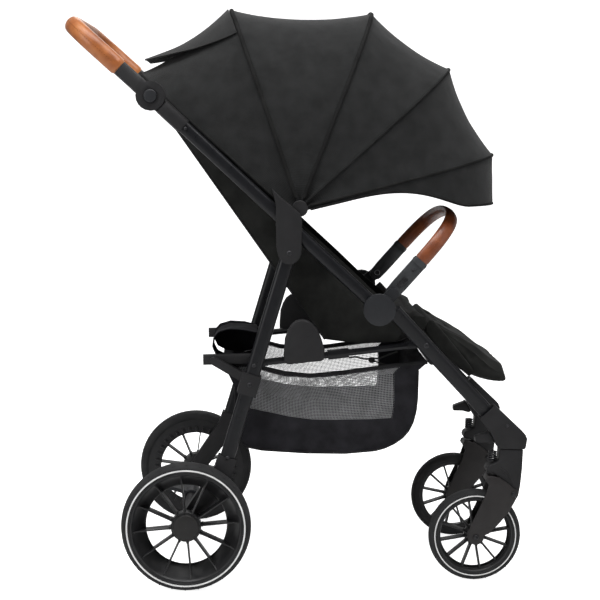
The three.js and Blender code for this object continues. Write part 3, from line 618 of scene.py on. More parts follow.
def round_points(x, z, radius, start, end, count=8):
    return [(x + radius * math.cos(math.radians(start + (end - start) * k / count)),
             z + radius * math.sin(math.radians(start + (end - start) * k / count))) for k in range(count + 1)]


bracket_outline = [(157, 806), (180, 785), (199, 771), (214, 758), (217.5, 748), (218, 677)] + round_points(
    194, 680, 22.5, -12, -168, 12) + [(168.5, 690), (166, 750), (165, 775)]
cover_outline = [(188.5, 463), (188, 478), (189.6, 507), (195, 524), (202, 536), (211, 543.5), (223, 547),
                 (235, 544.5), (245, 538), (256, 525), (263.5, 507), (269.5, 487), (270, 469), (265.5, 464),
                 (196, 455)]
fork_outline = ([(618, 205), (611, 215), (614, 223), (624, 225), (639, 221), (653, 213), (668, 200.5), (679, 192),
                 (679, 184), (673, 172), (660, 147), (640, 122), (622, 103)]
                + round_points(595, 96, 17, 10, -190, 16) + [(583, 118), (598, 152), (611, 182)])
bridge_outline = [(612, 214), (616, 224), (640, 221), (662, 206), (676, 193), (676, 184), (668, 178.5), (656, 190),
                  (640, 201), (626, 206), (618, 206)]
for hand, side in left_first:
    # Two plates hold the leg's eye between them, and a saddle over the tube joins them.
    plates = [standing_plate("plate", bracket_outline, side * a, side * b, 1.4)
              for a, b in ((243.1, 248), (216, 220.9))]
    saddle = [(166, 768), (180, 781), (217, 748), (217, 722), (212, 706), (196, 706), (166, 732)]
    plates.append(standing_plate("saddle", saddle, side * 219, side * 245, 1.2))
    arm = [(hub_at[0] - 12, hub_at[1] - 4), (hub_at[0] + 8, hub_at[1] - 12), (216, 752), (196, 756)]
    plates.append(standing_plate("arm", arm, side * 222, side * 232, 1.0))
    plates.append(spun("boss", [(0.2, -9), (15, -9), (16, -8), (16, 5), (14.5, 6.2), (0.2, 6.6)],
                       side_place(*hub_at, side * 230), 40))
    stands_for(joined(f"leg_bracket_{hand}_moulding", plates), f"leg_bracket_{hand}", nylon_matt, 38)
    made = standing_plate(f"link_cover_{hand}_moulding", cover_outline, side * 222, side * 239, 3.2)
    stands_for(made, f"link_cover_{hand}", nylon_matt, 38)
    middle = caster_at * side
    plates = [standing_plate("blade", fork_outline, middle + way * fork_in, middle + way * fork_out, 1.9)
              for way in (1, -1)]
    plates.append(standing_plate("bridge", bridge_outline, middle - fork_in - 1, middle + fork_in + 1, 0.8))
    for x, z, radius in ((670, 188, 9.5), (595, 96, 11)):
        for way in (1, -1):
            plates.append(spun("boss", [(3, -1), (radius, -1), (radius, 1.2), (radius - 1, 2.2), (3, 2.2)][::way],
                               side_place(x, z, middle), 32))
            step = way * (fork_out - (0.0 if way > 0 else 1.2)) * mm
            plates[-1].data.transform(Matrix.Translation((0, step, 0)))
    stands_for(joined(f"caster_fork_{hand}_moulding", plates), f"caster_fork_{hand}", fork_brown, 38)

head_outline = ([(687, 280.4), (638.6, 280.4), (638.0, 256), (630, 250.5), (616, 245), (612.5, 238), (613.5, 231),
                 (619, 228.5), (628, 228.5), (637, 223), (646, 214), (653.5, 203), (657.5, 193)]
                + round_points(670, 188, 11.5, 170, 350) + [(684, 204), (686.5, 240)])
for hand, side in left_first:
    middle = caster_at * side
    head = standing_plate(f"caster_knee_{hand}", head_outline, middle - 19, middle + 19, 2.6)
    bpy.ops.mesh.primitive_cylinder_add(vertices=40, radius=0.0165, depth=0.020,
                                        location=side_place(663, 270, middle))
    collar = bevelled(settled(added("collar")), 1.5)
    ribs = []
    for inset in (0, 6.5):
        arc = [(640, 243 - inset), (652, 236 - inset), (661, 224 - inset), (666, 210 - inset * 0.6), (669, 197)]
        line = [side_place(x, z, middle + side * 18.6) for x, z in arc]
        ribs.append(sleeve("rib", line, (0, 1, 0), lambda u: (0.0012, 0.0012), 8))
    head = joined(f"caster_knee_{hand}", [head, collar] + ribs)
    placed(head, [f"caster_head_{hand}"], nylon_matt, f"caster_{hand}", 38)
    turns = []
    for k in range(spring_turns):
        bpy.ops.object.select_all(action="DESELECT")
        bpy.ops.mesh.primitive_torus_add(location=side_place(626.5, 252.5 + k * 4.6, middle), major_segments=36,
                                         minor_segments=10, major_radius=0.0078, minor_radius=0.0015)
        turns.append(settled(added("turn")))
    placed(joined(f"caster_spring_{hand}", turns), [], black_bolt, f"caster_{hand}", 60)

bolts = [
    ("link_front", (475.6, 497), 223.6, 5.2, "front_frame"),
    ("leg_pivot", (194, 680), 248.0, 5.0, "upper_frame"),
    ("link_rear", (129, 452.5), 242.6, 4.4, "rear_legs"),
    ("collar", (120.7, 413.9), 246.6, 4.6, "rear_legs"),
    ("axle_socket", (79.5, 264.5), 246.1, 4.2, "rear_legs"),
    ("sleeve", (-15.5, 920.5), 245.6, 3.2, "upper_frame"),
    ("housing", (652, 330), 192.1, 3.4, "front_frame"),
]
for label, (x, z), y, radius, body in bolts:
    for hand, side in left_first:
        dome = [(0.2, -1.0), (radius, -1.0), (radius, 0.5), (radius * 0.86, 1.3), (radius * 0.62, 1.9),
                (radius * 0.36, 2.1), (radius * 0.3, 1.3), (0.2, 1.3)]
        head = spun(f"bolt_{label}_{hand}", sided(dome, side), side_place(x, z, side * y), 28)
        placed(head, [], black_bolt, body, 40)
for hand, side in left_first:
    dome = [(0.2, -1.0), (5.4, -1.0), (5.4, 0.8), (4.4, 2.0), (2.2, 2.4), (1.8, 1.4), (0.2, 1.4)]
    for label, (x, z) in fork_bolts.items():
        for way in (1, -1):
            head = spun(f"bolt_{label}_{hand}_{'out' if way * side > 0 else 'in'}", sided(dome, way),
                        side_place(x, z, side * caster_at + way * (fork_out + 2.0)), 28)
            placed(head, [], black_bolt, f"fork_{hand}", 40)
    # Brake teeth stand round the rear rim's inner edge, where the pedal's pin drops between them.
    teeth = []
    for k in range(tooth_count):
        tooth = bar("tooth", (10, 5, 4.2), 0.6, (90, 0, 0))
        tooth.data.transform(Matrix.Rotation(math.tau * k / tooth_count, 4, "Y"))
        tooth.data.transform(Matrix.Translation(side_place(0, 130, side * (273 - 20.6))))
        teeth.append(tooth)
    placed(joined(f"brake_teeth_{hand}", teeth), [], nylon, f"rear_wheel_{hand}", 40)

# ---- Canopy: cloth panels between the bows ----
# Water-repellent polyester, cut in gores and sewn edge to edge, pulled over four sprung bows so that it
# sags a little between them. The last gore ends in a visor that dips over the front.
hub = axle["canopy_2"]
bow_angles = (110.2, 70.0, 42.8, 15.4)
back_angle = 139.0
canopy_reach, canopy_half = 424 * mm, 218 * mm
cloth_thick = 0.0014
canopy_bodies = ("upper_frame", "canopy_2", "canopy_3", "canopy_4")
visor_reach = 0.975
seam_start = 0.012


def woven(name, rough, gloss, thread, height, dark, light, bands="OBJECT"):
    """Plain weave: warp and weft waves crossing, `thread` metres apart, over slow changes of shade."""
    finish = Finish(name, rough, gloss=gloss)
    coords = finish.node("ShaderNodeUVMap").outputs["UV"] if bands == "UV" else finish.where
    waves = []
    for direction in ("X", "Y"):
        source, kind, wander = coords, direction, 0.6
        if bands == "OBJECT":
            turned = finish.node("ShaderNodeMapping")
            turned.inputs["Rotation"].default_value = (0.6, 0.5, 0.8) if direction == "X" else (-0.6, 0.5, -0.8)
            finish.join(coords, turned.inputs["Vector"])
            source, kind, wander = turned.outputs["Vector"], "DIAGONAL", 0.8
        wave = finish.node("ShaderNodeTexWave", wave_type="BANDS", bands_direction=kind,
                           Scale=math.tau / 20 / thread, Distortion=wander, Detail=1.0)
        finish.join(source, wave.inputs["Vector"])
        waves.append(wave.outputs["Fac"])
    crossed = finish.node("ShaderNodeMath", operation="MULTIPLY")
    finish.join(waves[0], crossed.inputs[0])
    finish.join(waves[1], crossed.inputs[1])
    blend = finish.node("ShaderNodeMath", operation="MULTIPLY_ADD")
    finish.join(crossed.outputs[0], blend.inputs[0])
    blend.inputs[1].default_value = 0.35
    finish.join(finish.mottle(0.03), blend.inputs[2])
    finish.colours(blend.outputs[0], (0.35, dark), (0.85, light))
    finish.relief((crossed.outputs[0], height), (finish.mottle(0.018, 3), height * 3))
    return finish


canopy_cloth = woven("canopy_polyester", 0.86, 0.12, 0.0016, 0.00012, (0.0085, 0.0088, 0.0090),
                     (0.0195, 0.020, 0.0203), "UV")
canopy_cloth.shader.inputs["Sheen Weight"].default_value = 0.12
canopy_cloth.shader.inputs["Sheen Roughness"].default_value = 0.6
binding_cloth = woven("canopy_binding", 0.8, 0.15, 0.0012, 0.0001, (0.007, 0.007, 0.007), (0.016, 0.016, 0.016),
                      "UV")


def arch_point(angle, t, reach=1.0, rise=0.0):
    """A point on a bow: t runs from one side to the other, rise stands off the cloth outwards."""
    r = (canopy_reach * reach + rise) * math.sin(t) ** (2 / 3)
    y = (canopy_half + rise) * math.copysign(abs(math.cos(t)) ** (2 / 3), math.cos(t))
    a = math.radians(angle)
    return Vector((hub.x + r * math.cos(a), y, hub.z + r * math.sin(a)))


def flat_size(made):
    """The cloth's area, and a cut of the grid's proportions that holds it."""
    area = sum(p.area for p in made.data.polygons)
    uv = made.data.uv_layers.active.data
    width, length = max(c.uv.x for c in uv), max(c.uv.y for c in uv)
    grow = math.sqrt(area / (width * length) / 0.9)
    return area, (width * grow, length * grow)


def thickened(made, thick, offset=0.0):
    wall = made.modifiers.new("wall", "SOLIDIFY")
    wall.thickness, wall.offset = thick, offset
    only(made)
    bpy.ops.object.modifier_apply(modifier="wall")
    return made


def faced(made, inside_out):
    if inside_out:
        opened(made)
        bpy.ops.mesh.flip_normals()
        bpy.ops.object.mode_set(mode="OBJECT")
    return made


def puckered(point, strength, scale, seed=0.0):
    return strength * noise.noise(Vector((point.x, point.y, point.z + seed)) * scale)


def gore(name, start, end, sag, end_reach):
    edge = 0.006

    def place(u, v):
        t = edge + (math.pi - 2 * edge) * u
        p = arch_point(start(t), t).lerp(arch_point(end(t), t, end_reach), v)
        inward = Vector((hub.x - p.x, -p.y * 0.55, hub.z - p.z))
        if inward.length > 1e-6:
            inward.normalize()
        hold = math.sin(math.pi * v) ** 0.75
        depth = sag * hold * (0.35 + 0.65 * math.sin(t) ** 1.5)
        crease = puckered(p, 0.0028, 9.0) + puckered(p, 0.0011, 26.0, 4.0)
        # Small gathers fan out of the seams, and die away towards the middle of the gore.
        gather = 0.0009 * math.sin(t * 95 + 3 * noise.noise(p * 6)) * (abs(v - 0.5) * 2) ** 3 * hold ** 0.3
        return p + inward * (depth + crease * hold + gather)

    return draped_grid(name, 72, 22, place, (0.95, 0.3))


def flat(angle):
    return lambda t: angle


def back_edge(t):
    """The back panel's hem falls below its angle by the same distance all the way, behind the tubes."""
    r = canopy_reach * max(math.sin(t), 0.004) ** (2 / 3)
    return back_angle + min(math.degrees(math.asin(min(0.019 / r, 0.6))), 24)


def visor_edge(t):
    """The visor's hem: near the last bow at the sides, dipping smoothly over the front."""
    side = min(max((min(t, math.pi - t) - 0.10) / 0.80, 0), 1)
    r = canopy_reach * math.sin(t) ** (2 / 3)
    drop = 13.2 * side * side * (3 - 2 * side) + math.degrees(math.asin(min(0.0075 / r, 0.5))) * (1 - side)
    return bow_angles[3] - 0.6 - drop


gores = [
    ("canopy_back_cloth", back_edge, flat(bow_angles[0]), 0.013, ("upper_frame",), "canopy_back_panel"),
    ("canopy_gore_1", flat(bow_angles[0]), flat(bow_angles[1]), 0.017, ("upper_frame", "canopy_2"),
     "canopy_panel_1"),
    ("canopy_gore_2", flat(bow_angles[1]), flat(bow_angles[2]), 0.012, ("canopy_2", "canopy_3"), "canopy_panel_2"),
    ("canopy_gore_3", flat(bow_angles[2]), flat(bow_angles[3]), 0.011, ("canopy_3", "canopy_4"), "canopy_panel_3"),
    ("canopy_visor_cloth", flat(bow_angles[3]), visor_edge, 0.002, ("canopy_4",), "canopy_visor"),
]
for name, start, end, sag, bodies, node in gores:
    cloth = gore(name, start, end, sag, visor_reach if name == "canopy_visor_cloth" else 1.0)
    area, cut = flat_size(cloth)
    thickened(cloth, cloth_thick)
    outward(cloth)
    smoothed(painted(cloth, canopy_cloth), 60)
    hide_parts(node)
    if len(bodies) == 2:
        mid = arch_point(start(1.5), math.pi / 2, 0.75), arch_point(end(1.5), math.pi / 2, 0.75)
        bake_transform(cloth)
    else:
        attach(cloth, bodies[0])


# Each bow runs in a sewn tunnel, seen outside as a flat welt.
for k, angle in enumerate(bow_angles):
    path = [arch_point(angle, seam_start + (math.pi - 2 * seam_start) * i / 80, rise=0.0012) for i in range(81)]
    a = math.radians(angle)
    welt = sleeve(f"canopy_welt_{k + 1}", path, (-math.sin(a), 0, math.cos(a)),
                  lambda u: (0.0022, 0.0044 if k < 2 else 0.0028), 12)
    placed(welt, [], binding_cloth, canopy_bodies[k], 60)
hems = [
    ("canopy_back_hem", back_edge, 1.0, "upper_frame"),
    ("canopy_visor_hem", visor_edge, visor_reach, "canopy_4"),
]
for name, angle, reach, body in hems:
    path = [arch_point(angle(t), t, reach)
            for t in (seam_start + (math.pi - 2 * seam_start) * i / 90 for i in range(91))]
    hem = sleeve(name, path, (math.sin(math.radians(-angle(1.5))), 0, math.cos(math.radians(angle(1.5)))),
                 lambda u: (0.0026, 0.0026), 10)
    placed(hem, [], binding_cloth, body, 60)


def flap_place(u, v):
    """A loose flap over the roof's vent: sewn to the first bow's welt, free along its other three sides."""
    t = math.radians(90) + math.radians(72) * (u - 0.5) * (0.34 + 0.66 * v ** 0.8)
    lift = 0.006 + 0.006 * (1 - v) + 0.006 * (abs(u - 0.5) * 2) ** 4 * math.sin(math.pi * min(v * 0.9 + 0.1, 1))
    p = arch_point(back_angle - 1.0, t, rise=lift).lerp(arch_point(bow_angles[0] + 0.8, t, rise=0.0035), v)
    inward = Vector((hub.x - p.x, -p.y * 0.4, hub.z - p.z)).normalized()
    return p + inward * (0.0125 * math.sin(math.pi * v) ** 0.9 + puckered(p, 0.002, 14))


flap = draped_grid("canopy_vent_flap", 48, 22, flap_place, (0.34, 0.21))
area, cut = flat_size(flap)
thickened(flap, 0.0022)
outward(flap)
placed(flap, [], canopy_cloth, "upper_frame", 60)

# ---- Seat: cloth shell between the upper tubes ----
# One sewn shell of dull black polyester hangs between the tubes: two side panels, looped over the tubes
# on webbing, and a back sheet behind the pad.
fold_at = axle["upper_frame"]
seat_at = axle["backrest"]
handle_at = axle["handle"]
tube_way = (handle_at - fold_at).normalized()
back_tilt, bumper_tilt = math.radians(126.3), math.radians(49.6)
back_way = Vector((math.cos(back_tilt), 0, math.sin(back_tilt)))
back_off = Vector((math.cos(math.radians(36.3)), 0, math.sin(math.radians(36.3))))
seat_half = 0.1885
tube_run = (handle_at - fold_at).length


def flat_side(p, y=0.0):
    return Vector((p.x, y, p.z))


def on_tube(s, p=0.0, y=0.0):
    return flat_side(fold_at + tube_way * (s * mm) + Vector((-tube_way.z, 0, tube_way.x)) * (-p * mm), y)


def on_back(u, v=0.0, y=0.0):
    return flat_side(seat_at + back_way * (u * mm) + back_off * (v * mm), y)


def along(points, u):
    """A point at share u of the length of a line through points."""
    runs = [(points[k + 1] - points[k]).length for k in range(len(points) - 1)]
    left = u * sum(runs)
    for k, run in enumerate(runs):
        if left <= run or k == len(runs) - 1:
            return points[k].lerp(points[k + 1], min(left / run, 1))
        left -= run


seat_cloth = woven("seat_polyester", 0.88, 0.14, 0.0018, 0.00014, (0.0085, 0.0088, 0.0082), (0.020, 0.0205, 0.019))
seat_cloth.shader.inputs["Sheen Weight"].default_value = 0.08
seat_binding = woven("seat_binding", 0.75, 0.2, 0.0013, 0.0001, (0.008, 0.008, 0.008), (0.017, 0.017, 0.017))

front_edge = [flat_side(fold_at + Vector(d) * mm) for d in
              ((-60, 0, -74), (-14, 0, -76), (36, 0, -72), (50, 0, -62), (50, 0, -30), (44, 0, -8), (22, 0, 6))]
top_edge = front_edge + [on_tube(30, 18), on_tube(90, 19), on_tube(tube_run / mm - 96, 17)]
bottom_edge = [on_back(8, 0), on_back(550, -1.5)]

for hand, side in left_first:
    def place(u, v):
        p = along(bottom_edge, v).lerp(along(top_edge, v), u)
        taut = math.sin(math.pi * min(max(u, 0), 1)) * math.sin(math.pi * v) ** 0.6
        fold = puckered(p, 0.004, 11, 2.0) + puckered(p, 0.0016, 34, 7.0)
        out = 0.1893 + 0.0075 * taut + fold * taut
        return Vector((p.x, side * out, p.z))

    panel = draped_grid(f"seat_side_{hand}", 26, 80, place, (0.2, 0.62))
    area, cut = flat_size(panel)
    faced(panel, side > 0)
    thickened(panel, 0.0016)
    smoothed(painted(panel, seat_cloth), 60)
    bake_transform(panel)
    rim_line = [flat_side(along(bottom_edge, k / 60), side * 0.1895) for k in range(61)]
    edge_tape = sleeve(f"seat_edge_tape_{hand}", rim_line, (0, 1, 0), lambda u: (0.0024, 0.0018), 10)
    placed(edge_tape, [], seat_binding, "upper_frame", 60)
    # Webbing loops hold the shell to the tube.
    for n, s in enumerate((130, 400)):
        loop = cube(f"seat_loop_{hand}_{n + 1}")
        for v in loop.data.vertices:
            reach = 0.190 if v.co.y < 0 else 0.2205
            v.co = on_tube(s + 17 + v.co.x * 34, -1 + v.co.z * 11, side * reach)
        opened(loop)
        bpy.ops.mesh.normals_make_consistent(inside=False)
        bpy.ops.mesh.subdivide(number_cuts=4)
        bpy.ops.object.mode_set(mode="OBJECT")
        bevelled(loop, 2)
        placed(loop, [], seat_binding, "upper_frame", 50)


def back_place(u, v):
    p = on_back(8 + 542 * v, -1.4, (u - 0.5) * 2 * seat_half)
    slack = math.sin(math.pi * u) * math.sin(math.pi * v)
    return p - back_off * (0.004 * slack + abs(puckered(p, 0.003, 13)) * slack)


back_sheet = draped_grid("seat_back_sheet", 48, 64, back_place, (0.377, 0.542))
area, cut = flat_size(back_sheet)
thickened(back_sheet, 0.0014)
placed(back_sheet, ["seat_sling"], seat_cloth, "upper_frame", 60)

# ---- Seat: padded backrest, base and leg rest ----
# Polyester covers over foam and wadding. Each pad swells between its seams: the cover is blown up by
# cloth simulation, then the sewn channels are pressed into it.


def stuffed(node, name, voxel, cap, shrink, pressure=4.0):
    pad = drawn_round(node, 0, name=name)
    only(pad)
    box = pad.modifiers.new("voxels", "REMESH")
    box.mode, box.voxel_size = "VOXEL", voxel
    bpy.ops.object.modifier_apply(modifier="voxels")
    normals = [v.normal.copy() for v in pad.data.vertices]
    for v, n in zip(pad.data.vertices, normals):
        v.co -= n * shrink
    rest = [v.co.copy() for v in pad.data.vertices]
    cloth = pad.modifiers.new("cloth", "CLOTH")
    cloth.settings.use_pressure = True
    cloth.settings.uniform_pressure_force = pressure
    cloth.settings.quality = 4
    cloth.settings.mass = 0.3
    cloth.settings.effector_weights.gravity = 0
    cloth.point_cache.frame_start, cloth.point_cache.frame_end = 1, 20
    for step in range(1, 21):
        scene.frame_set(step)
    only(pad)
    bpy.ops.object.modifier_apply(modifier="cloth")
    scene.frame_set(1)
    for v, r in zip(pad.data.vertices, rest):
        moved = v.co - r
        if moved.length > cap:
            v.co = r + moved.normalized() * cap
    finer = pad.modifiers.new("finer", "SUBSURF")
    finer.levels = finer.render_levels = 1
    bpy.ops.object.modifier_apply(modifier="finer")
    return pad


def pressed(pad, depth_at):
    """Presses seams into a pad: depth_at(point) gives how far in, along the surface's normal."""
    normals = [v.normal.copy() for v in pad.data.vertices]
    for v, n in zip(pad.data.vertices, normals):
        v.co -= n * depth_at(v.co)
    pad.data.update()
    return pad


def groove(distance, width, depth):
    return depth * math.exp(-(distance / width) ** 2)


def back_seams(p):
    u = (p - seat_at).dot(back_way) / mm
    return max([groove(u - at, 5, 0.0045) for at in (165, 262, 360, 455)]
               + [groove(abs(p.y) / mm - 128, 5, 0.003)])


backrest = pressed(stuffed("backrest", "backrest_pad", 0.006, 0.009, 0.0045), back_seams)
placed(backrest, ["backrest"], seat_cloth, "backrest", 70)

rest_at = axle["leg_rest"]


def base_seams(p):
    return max(groove((p.x - seat_at.x) / mm - at, 5, 0.004) for at in (70, 120, 170))


base = pressed(stuffed("seat_base", "seat_base_pad", 0.005, 0.007, 0.004), base_seams)
placed(base, ["seat_base"], seat_cloth, "front_frame", 70)
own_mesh(base)


def rest_seams(p):
    run = (p - rest_at).length / mm
    return max(groove(run - at, 6, 0.0065) for at in (62, 128))


def thinned(pad, way, reach, share):
    """Thins a pad towards its near end, its underside kept: the filling is held down by the front seam."""
    out = Vector((-way.z, 0, way.x))
    runs = [(v.co - rest_at).dot(way) for v in pad.data.vertices]
    heights = [(v.co - rest_at).dot(out) for v in pad.data.vertices]
    start, cell = min(runs), 0.006
    low = {}
    for run, height in zip(runs, heights):
        k = int((run - start) / cell)
        low[k] = min(low.get(k, 1.0), height)
    for v, run, height in zip(pad.data.vertices, runs, heights):
        at = (run - start) / cell - 0.5
        k = max(int(at), 0)
        base_low = low[k] + (low.get(k + 1, low[k]) - low[k]) * min(max(at - k, 0), 1)
        near = min(max(1 - (run - start) / reach, 0), 1)
        v.co -= out * ((height - base_low) * share * near * near * (3 - 2 * near))
    return pad


leg_way = Vector((0.791, 0, -0.612))
leg_pad = stuffed("leg_rest", "leg_rest_pad", 0.005, 0.010, 0.0035, 5.0)
leg_pad = pressed(thinned(leg_pad, leg_way, 0.115, 0.62), rest_seams)
placed(leg_pad, ["leg_rest"], seat_cloth, "leg_rest", 70)

# A padded apron closes the space under the leg rest, down to the front tubes.
apron_outline = [(481, 530), (492, 541), (515, 520), (588, 434), (577, 422), (545, 447), (512, 476), (482, 512)]
apron = standing_plate("leg_rest_apron", apron_outline, -147, 147, 5)
placed(apron, [], seat_cloth, "leg_rest", 70)

# ---- Harness ----
# Two shoulder and two waist straps of 26 mm webbing, with foam shoulder covers, laid flat on the pad
# and joined at a moulded buckle.
webbing = woven("harness_webbing", 0.7, 0.25, 0.0022, 0.0003, (0.009, 0.009, 0.009), (0.022, 0.022, 0.022))


def strap(name, u0, u1, y0, y1, wide, lift=30.3, thick=3.2, rows=40):
    def place(a, b):
        u, y = u0 + (u1 - u0) * a, y0 + (y1 - y0) * a
        run = math.hypot(u1 - u0, y1 - y0)
        du, dy = -(y1 - y0) / run, (u1 - u0) / run
        off = (b - 0.5) * wide
        bow_up = 2.2 * math.sin(math.pi * a * 3) ** 2
        return on_back(u + du * off, lift + bow_up, (y + dy * off) * mm)

    made = draped_grid(name, rows, 8, place, (abs(u1 - u0) * mm + abs(y1 - y0) * mm, wide * mm))
    thickened(made, thick * mm, 1.0)
    outward(made)
    placed(made, [], webbing, "backrest", 40)
    return made


for hand, side in left_first:
    strap(f"harness_shoulder_{hand}", 145, 430, side * 34, side * 64, 26)
    strap(f"harness_cover_{hand}", 235, 400, side * 44, side * 61, 40, lift=33.5, thick=6)
    strap(f"harness_waist_{hand}", 136, 122, side * 22, side * 150, 26)
buckle = cube("harness_buckle")
for v in buckle.data.vertices:
    v.co = on_back(136 + v.co.x * 46, 38 + v.co.z * 13, v.co.y * 0.05)
opened(buckle)
bpy.ops.mesh.normals_make_consistent(inside=False)
bpy.ops.mesh.bevel(offset=0.005, segments=4, affect="EDGES")
bpy.ops.object.mode_set(mode="OBJECT")
bpy.ops.mesh.primitive_cylinder_add(vertices=32, radius=0.011, depth=0.004)
press = added("buckle_press")
aim = Matrix((back_way, Vector((0, 1, 0)), back_off)).transposed().to_4x4()
press.matrix_world = Matrix.Translation(on_back(136, 45.5)) @ aim
settled(press)
placed(joined("harness_buckle", [buckle, press]), ["harness"], nylon_matt, "backrest", 40)

# ---- Handle and bumper bar: leather covers ----
# Waxed tan leather is wrapped round a foam core and sewn up along the inside with a lapped seam. The
# bumper bar's cover is the same leather, darker from handling.


def leather(name, deep, mid, light, rough):
    hide = Finish(name, rough, gloss=0.5)
    hide.shader.inputs["Coat Weight"].default_value = 0.25
    hide.shader.inputs["Coat Roughness"].default_value = 0.28
    grain = hide.node("ShaderNodeTexVoronoi", Scale=1 / 0.0016)
    hide.join(hide.where, grain.inputs["Vector"])
    hide.colours(hide.mottle(0.03, 6), (0.25, deep), (0.5, mid), (0.8, light))
    hide.roughened(hide.mottle(0.008), rough - 0.08, rough + 0.1)
    hide.relief((grain.outputs["Distance"], 0.00022), (hide.mottle(0.02), 0.0006))
    return hide


tan = leather("tan_leather", (0.26, 0.070, 0.015), (0.42, 0.13, 0.032), (0.56, 0.21, 0.065), 0.36)
brown = leather("brown_leather", (0.13, 0.028, 0.008), (0.24, 0.062, 0.019), (0.38, 0.118, 0.042), 0.36)
thread = plain("waxed_thread", 0.6, 0.3, 0.004, (0.16, 0.055, 0.02), (0.26, 0.10, 0.045))
arm_way = (Matrix.Rotation(-math.radians(1), 3, "Y") @ tube_way).normalized()


def round_u(way, at, half, start, reach, corner, count=24):
    """A U in the plane of `way` and Y: down one side, round two corners and back."""
    points = [flat_side(at + way * (s * mm), half * mm) for s in
              (start + (reach - corner - start) * k / 10 for k in range(10))]
    for k in range(count + 1):
        a = k / count * math.pi / 2
        points.append(flat_side(at + way * ((reach - corner + corner * math.sin(a)) * mm),
                                (half - corner + corner * math.cos(a)) * mm))
    middle = [flat_side(points[-1], (half - corner) * mm * (1 - k / 12)) for k in range(1, 12)]
    points += middle
    return points + [flat_side(p, -p.y) for p in reversed(points)]


def cover(name, path, normal, across, deep, finish, body, node):
    n = len(path) - 1
    total = sum((path[k + 1] - path[k]).length for k in range(n))

    def radii(u):
        end = min(u, 1 - u) * total
        fit = math.sqrt(max(1 - (1 - min(end / 0.006, 1)) ** 2, 0.0))
        swell = 0.86 + 0.14 * fit
        return across / 2 * swell, deep / 2 * swell

    hide = sleeve(name, path, normal, radii, 28)
    placed(hide, [node], finish, body, 50)
    # Waxed stitches run along the inside of the grip, over the lapped seam.
    stitches = []
    pitch = 0.0042
    for k in range(3, n - 3):
        p, q = path[k], path[k + 1]
        tangent, upright = (q - p).normalized(), Vector(normal).normalized()
        inward = upright.cross(tangent)
        side_out = inward * (across / 2 + 0.0001)
        number = max(int((q - p).length / pitch), 1)
        for j in range(number):
            c = p.lerp(q, (j + 0.5) / number)
            stitch = cube("stitch")
            frame_turn = Matrix((tangent, inward, upright)).transposed().to_4x4()
            stitch.data.transform(Matrix.Diagonal((0.0026, 0.0007, 0.0008, 1)))
            stitch.data.transform(Matrix.Translation(c + side_out) @ frame_turn)
            stitches.append(stitch)
    placed(joined(name + "_stitches", stitches), [], thread, body)


arm_normal = Vector((-arm_way.z, 0, arm_way.x))
grip_path = round_u(arm_way, handle_at, tube_half, 81, 211, 72)
cover("handle_leather", grip_path, arm_normal, 0.029, 0.036, tan, "handle", "handle_grip")

bumper_at = axle["bumper"]
bumper_way = Vector((math.cos(bumper_tilt), 0, math.sin(bumper_tilt)))


def on_bumper(s, y):
    return flat_side(bumper_at + bumper_way * (s * mm), y)


def bezier(a, b, c, d, u):
    return a * (1 - u) ** 3 + b * (3 * u * (1 - u) ** 2) + c * (3 * u * u * (1 - u)) + d * u ** 3


half_bow = []
for k in range(31):
    u = k / 30
    s = bezier(83.5, 170, 205, 205, u)
    y = bezier(200, 200, 150, 0, u)
    half_bow.append(on_bumper(s, y * mm))
bumper_path = half_bow + [flat_side(p, -p.y) for p in reversed(half_bow[:-1])]
cover("bumper_leather", bumper_path, Vector((-bumper_way.z, 0, bumper_way.x)), 0.015, 0.030, brown,
      "bumper", "bumper_bar")

zinc = plain("zinc_steel", 0.36, 0.5, 0.003, (0.30, 0.30, 0.31), (0.5, 0.5, 0.52),
             skin=(0.00003, 0.0006), metal=1.0)
# The bumper's arms end in a collar where the leather starts; a screw and a pivot rivet hold each of them.
for hand, side in left_first:
    collar_line = [on_bumper(s, side * 0.200) for s in (76, 79, 82, 85, 88)]
    collar = sleeve(f"bumper_collar_{hand}", collar_line, (0, 1, 0),
                    lambda u: (0.0163 - 0.001 * abs(u - 0.5) * 2, 0.0092 - 0.001 * abs(u - 0.5) * 2), 40, 0.6)
    placed(collar, [], arm_grey, "bumper", 40)
    clasp = bar(f"bumper_clasp_{hand}", (22, 2.4, 12), 0.9)
    turned = Matrix.Rotation(-bumper_tilt, 4, "Y")
    clasp.data.transform(Matrix.Translation(on_bumper(30, side * 0.2080)) @ turned)
    placed(clasp, [], black_bolt, "bumper", 40)
    bead = [(4.6, -0.8), (4.8, 0.9), (6.2, 0.9), (6.6, -0.8)]
    ring = spun(f"bumper_ring_{hand}", sided(bead, -side), on_bumper(3, side * 0.1918), 32)
    placed(ring, [], zinc, "bumper", 40)
    for label, s, radius in (("screw", 62, 3.6), ("rivet", 4, 6.5)):
        dome = [(0.2, -1.0), (radius, -1.0), (radius, 0.5), (radius * 0.8, 1.5), (radius * 0.4, 1.9), (0.2, 1.9)]
        head = spun(f"bumper_{label}_{hand}", sided(dome, side), on_bumper(s, side * 0.2082), 28)
        placed(head, [], black_bolt, "bumper", 40)

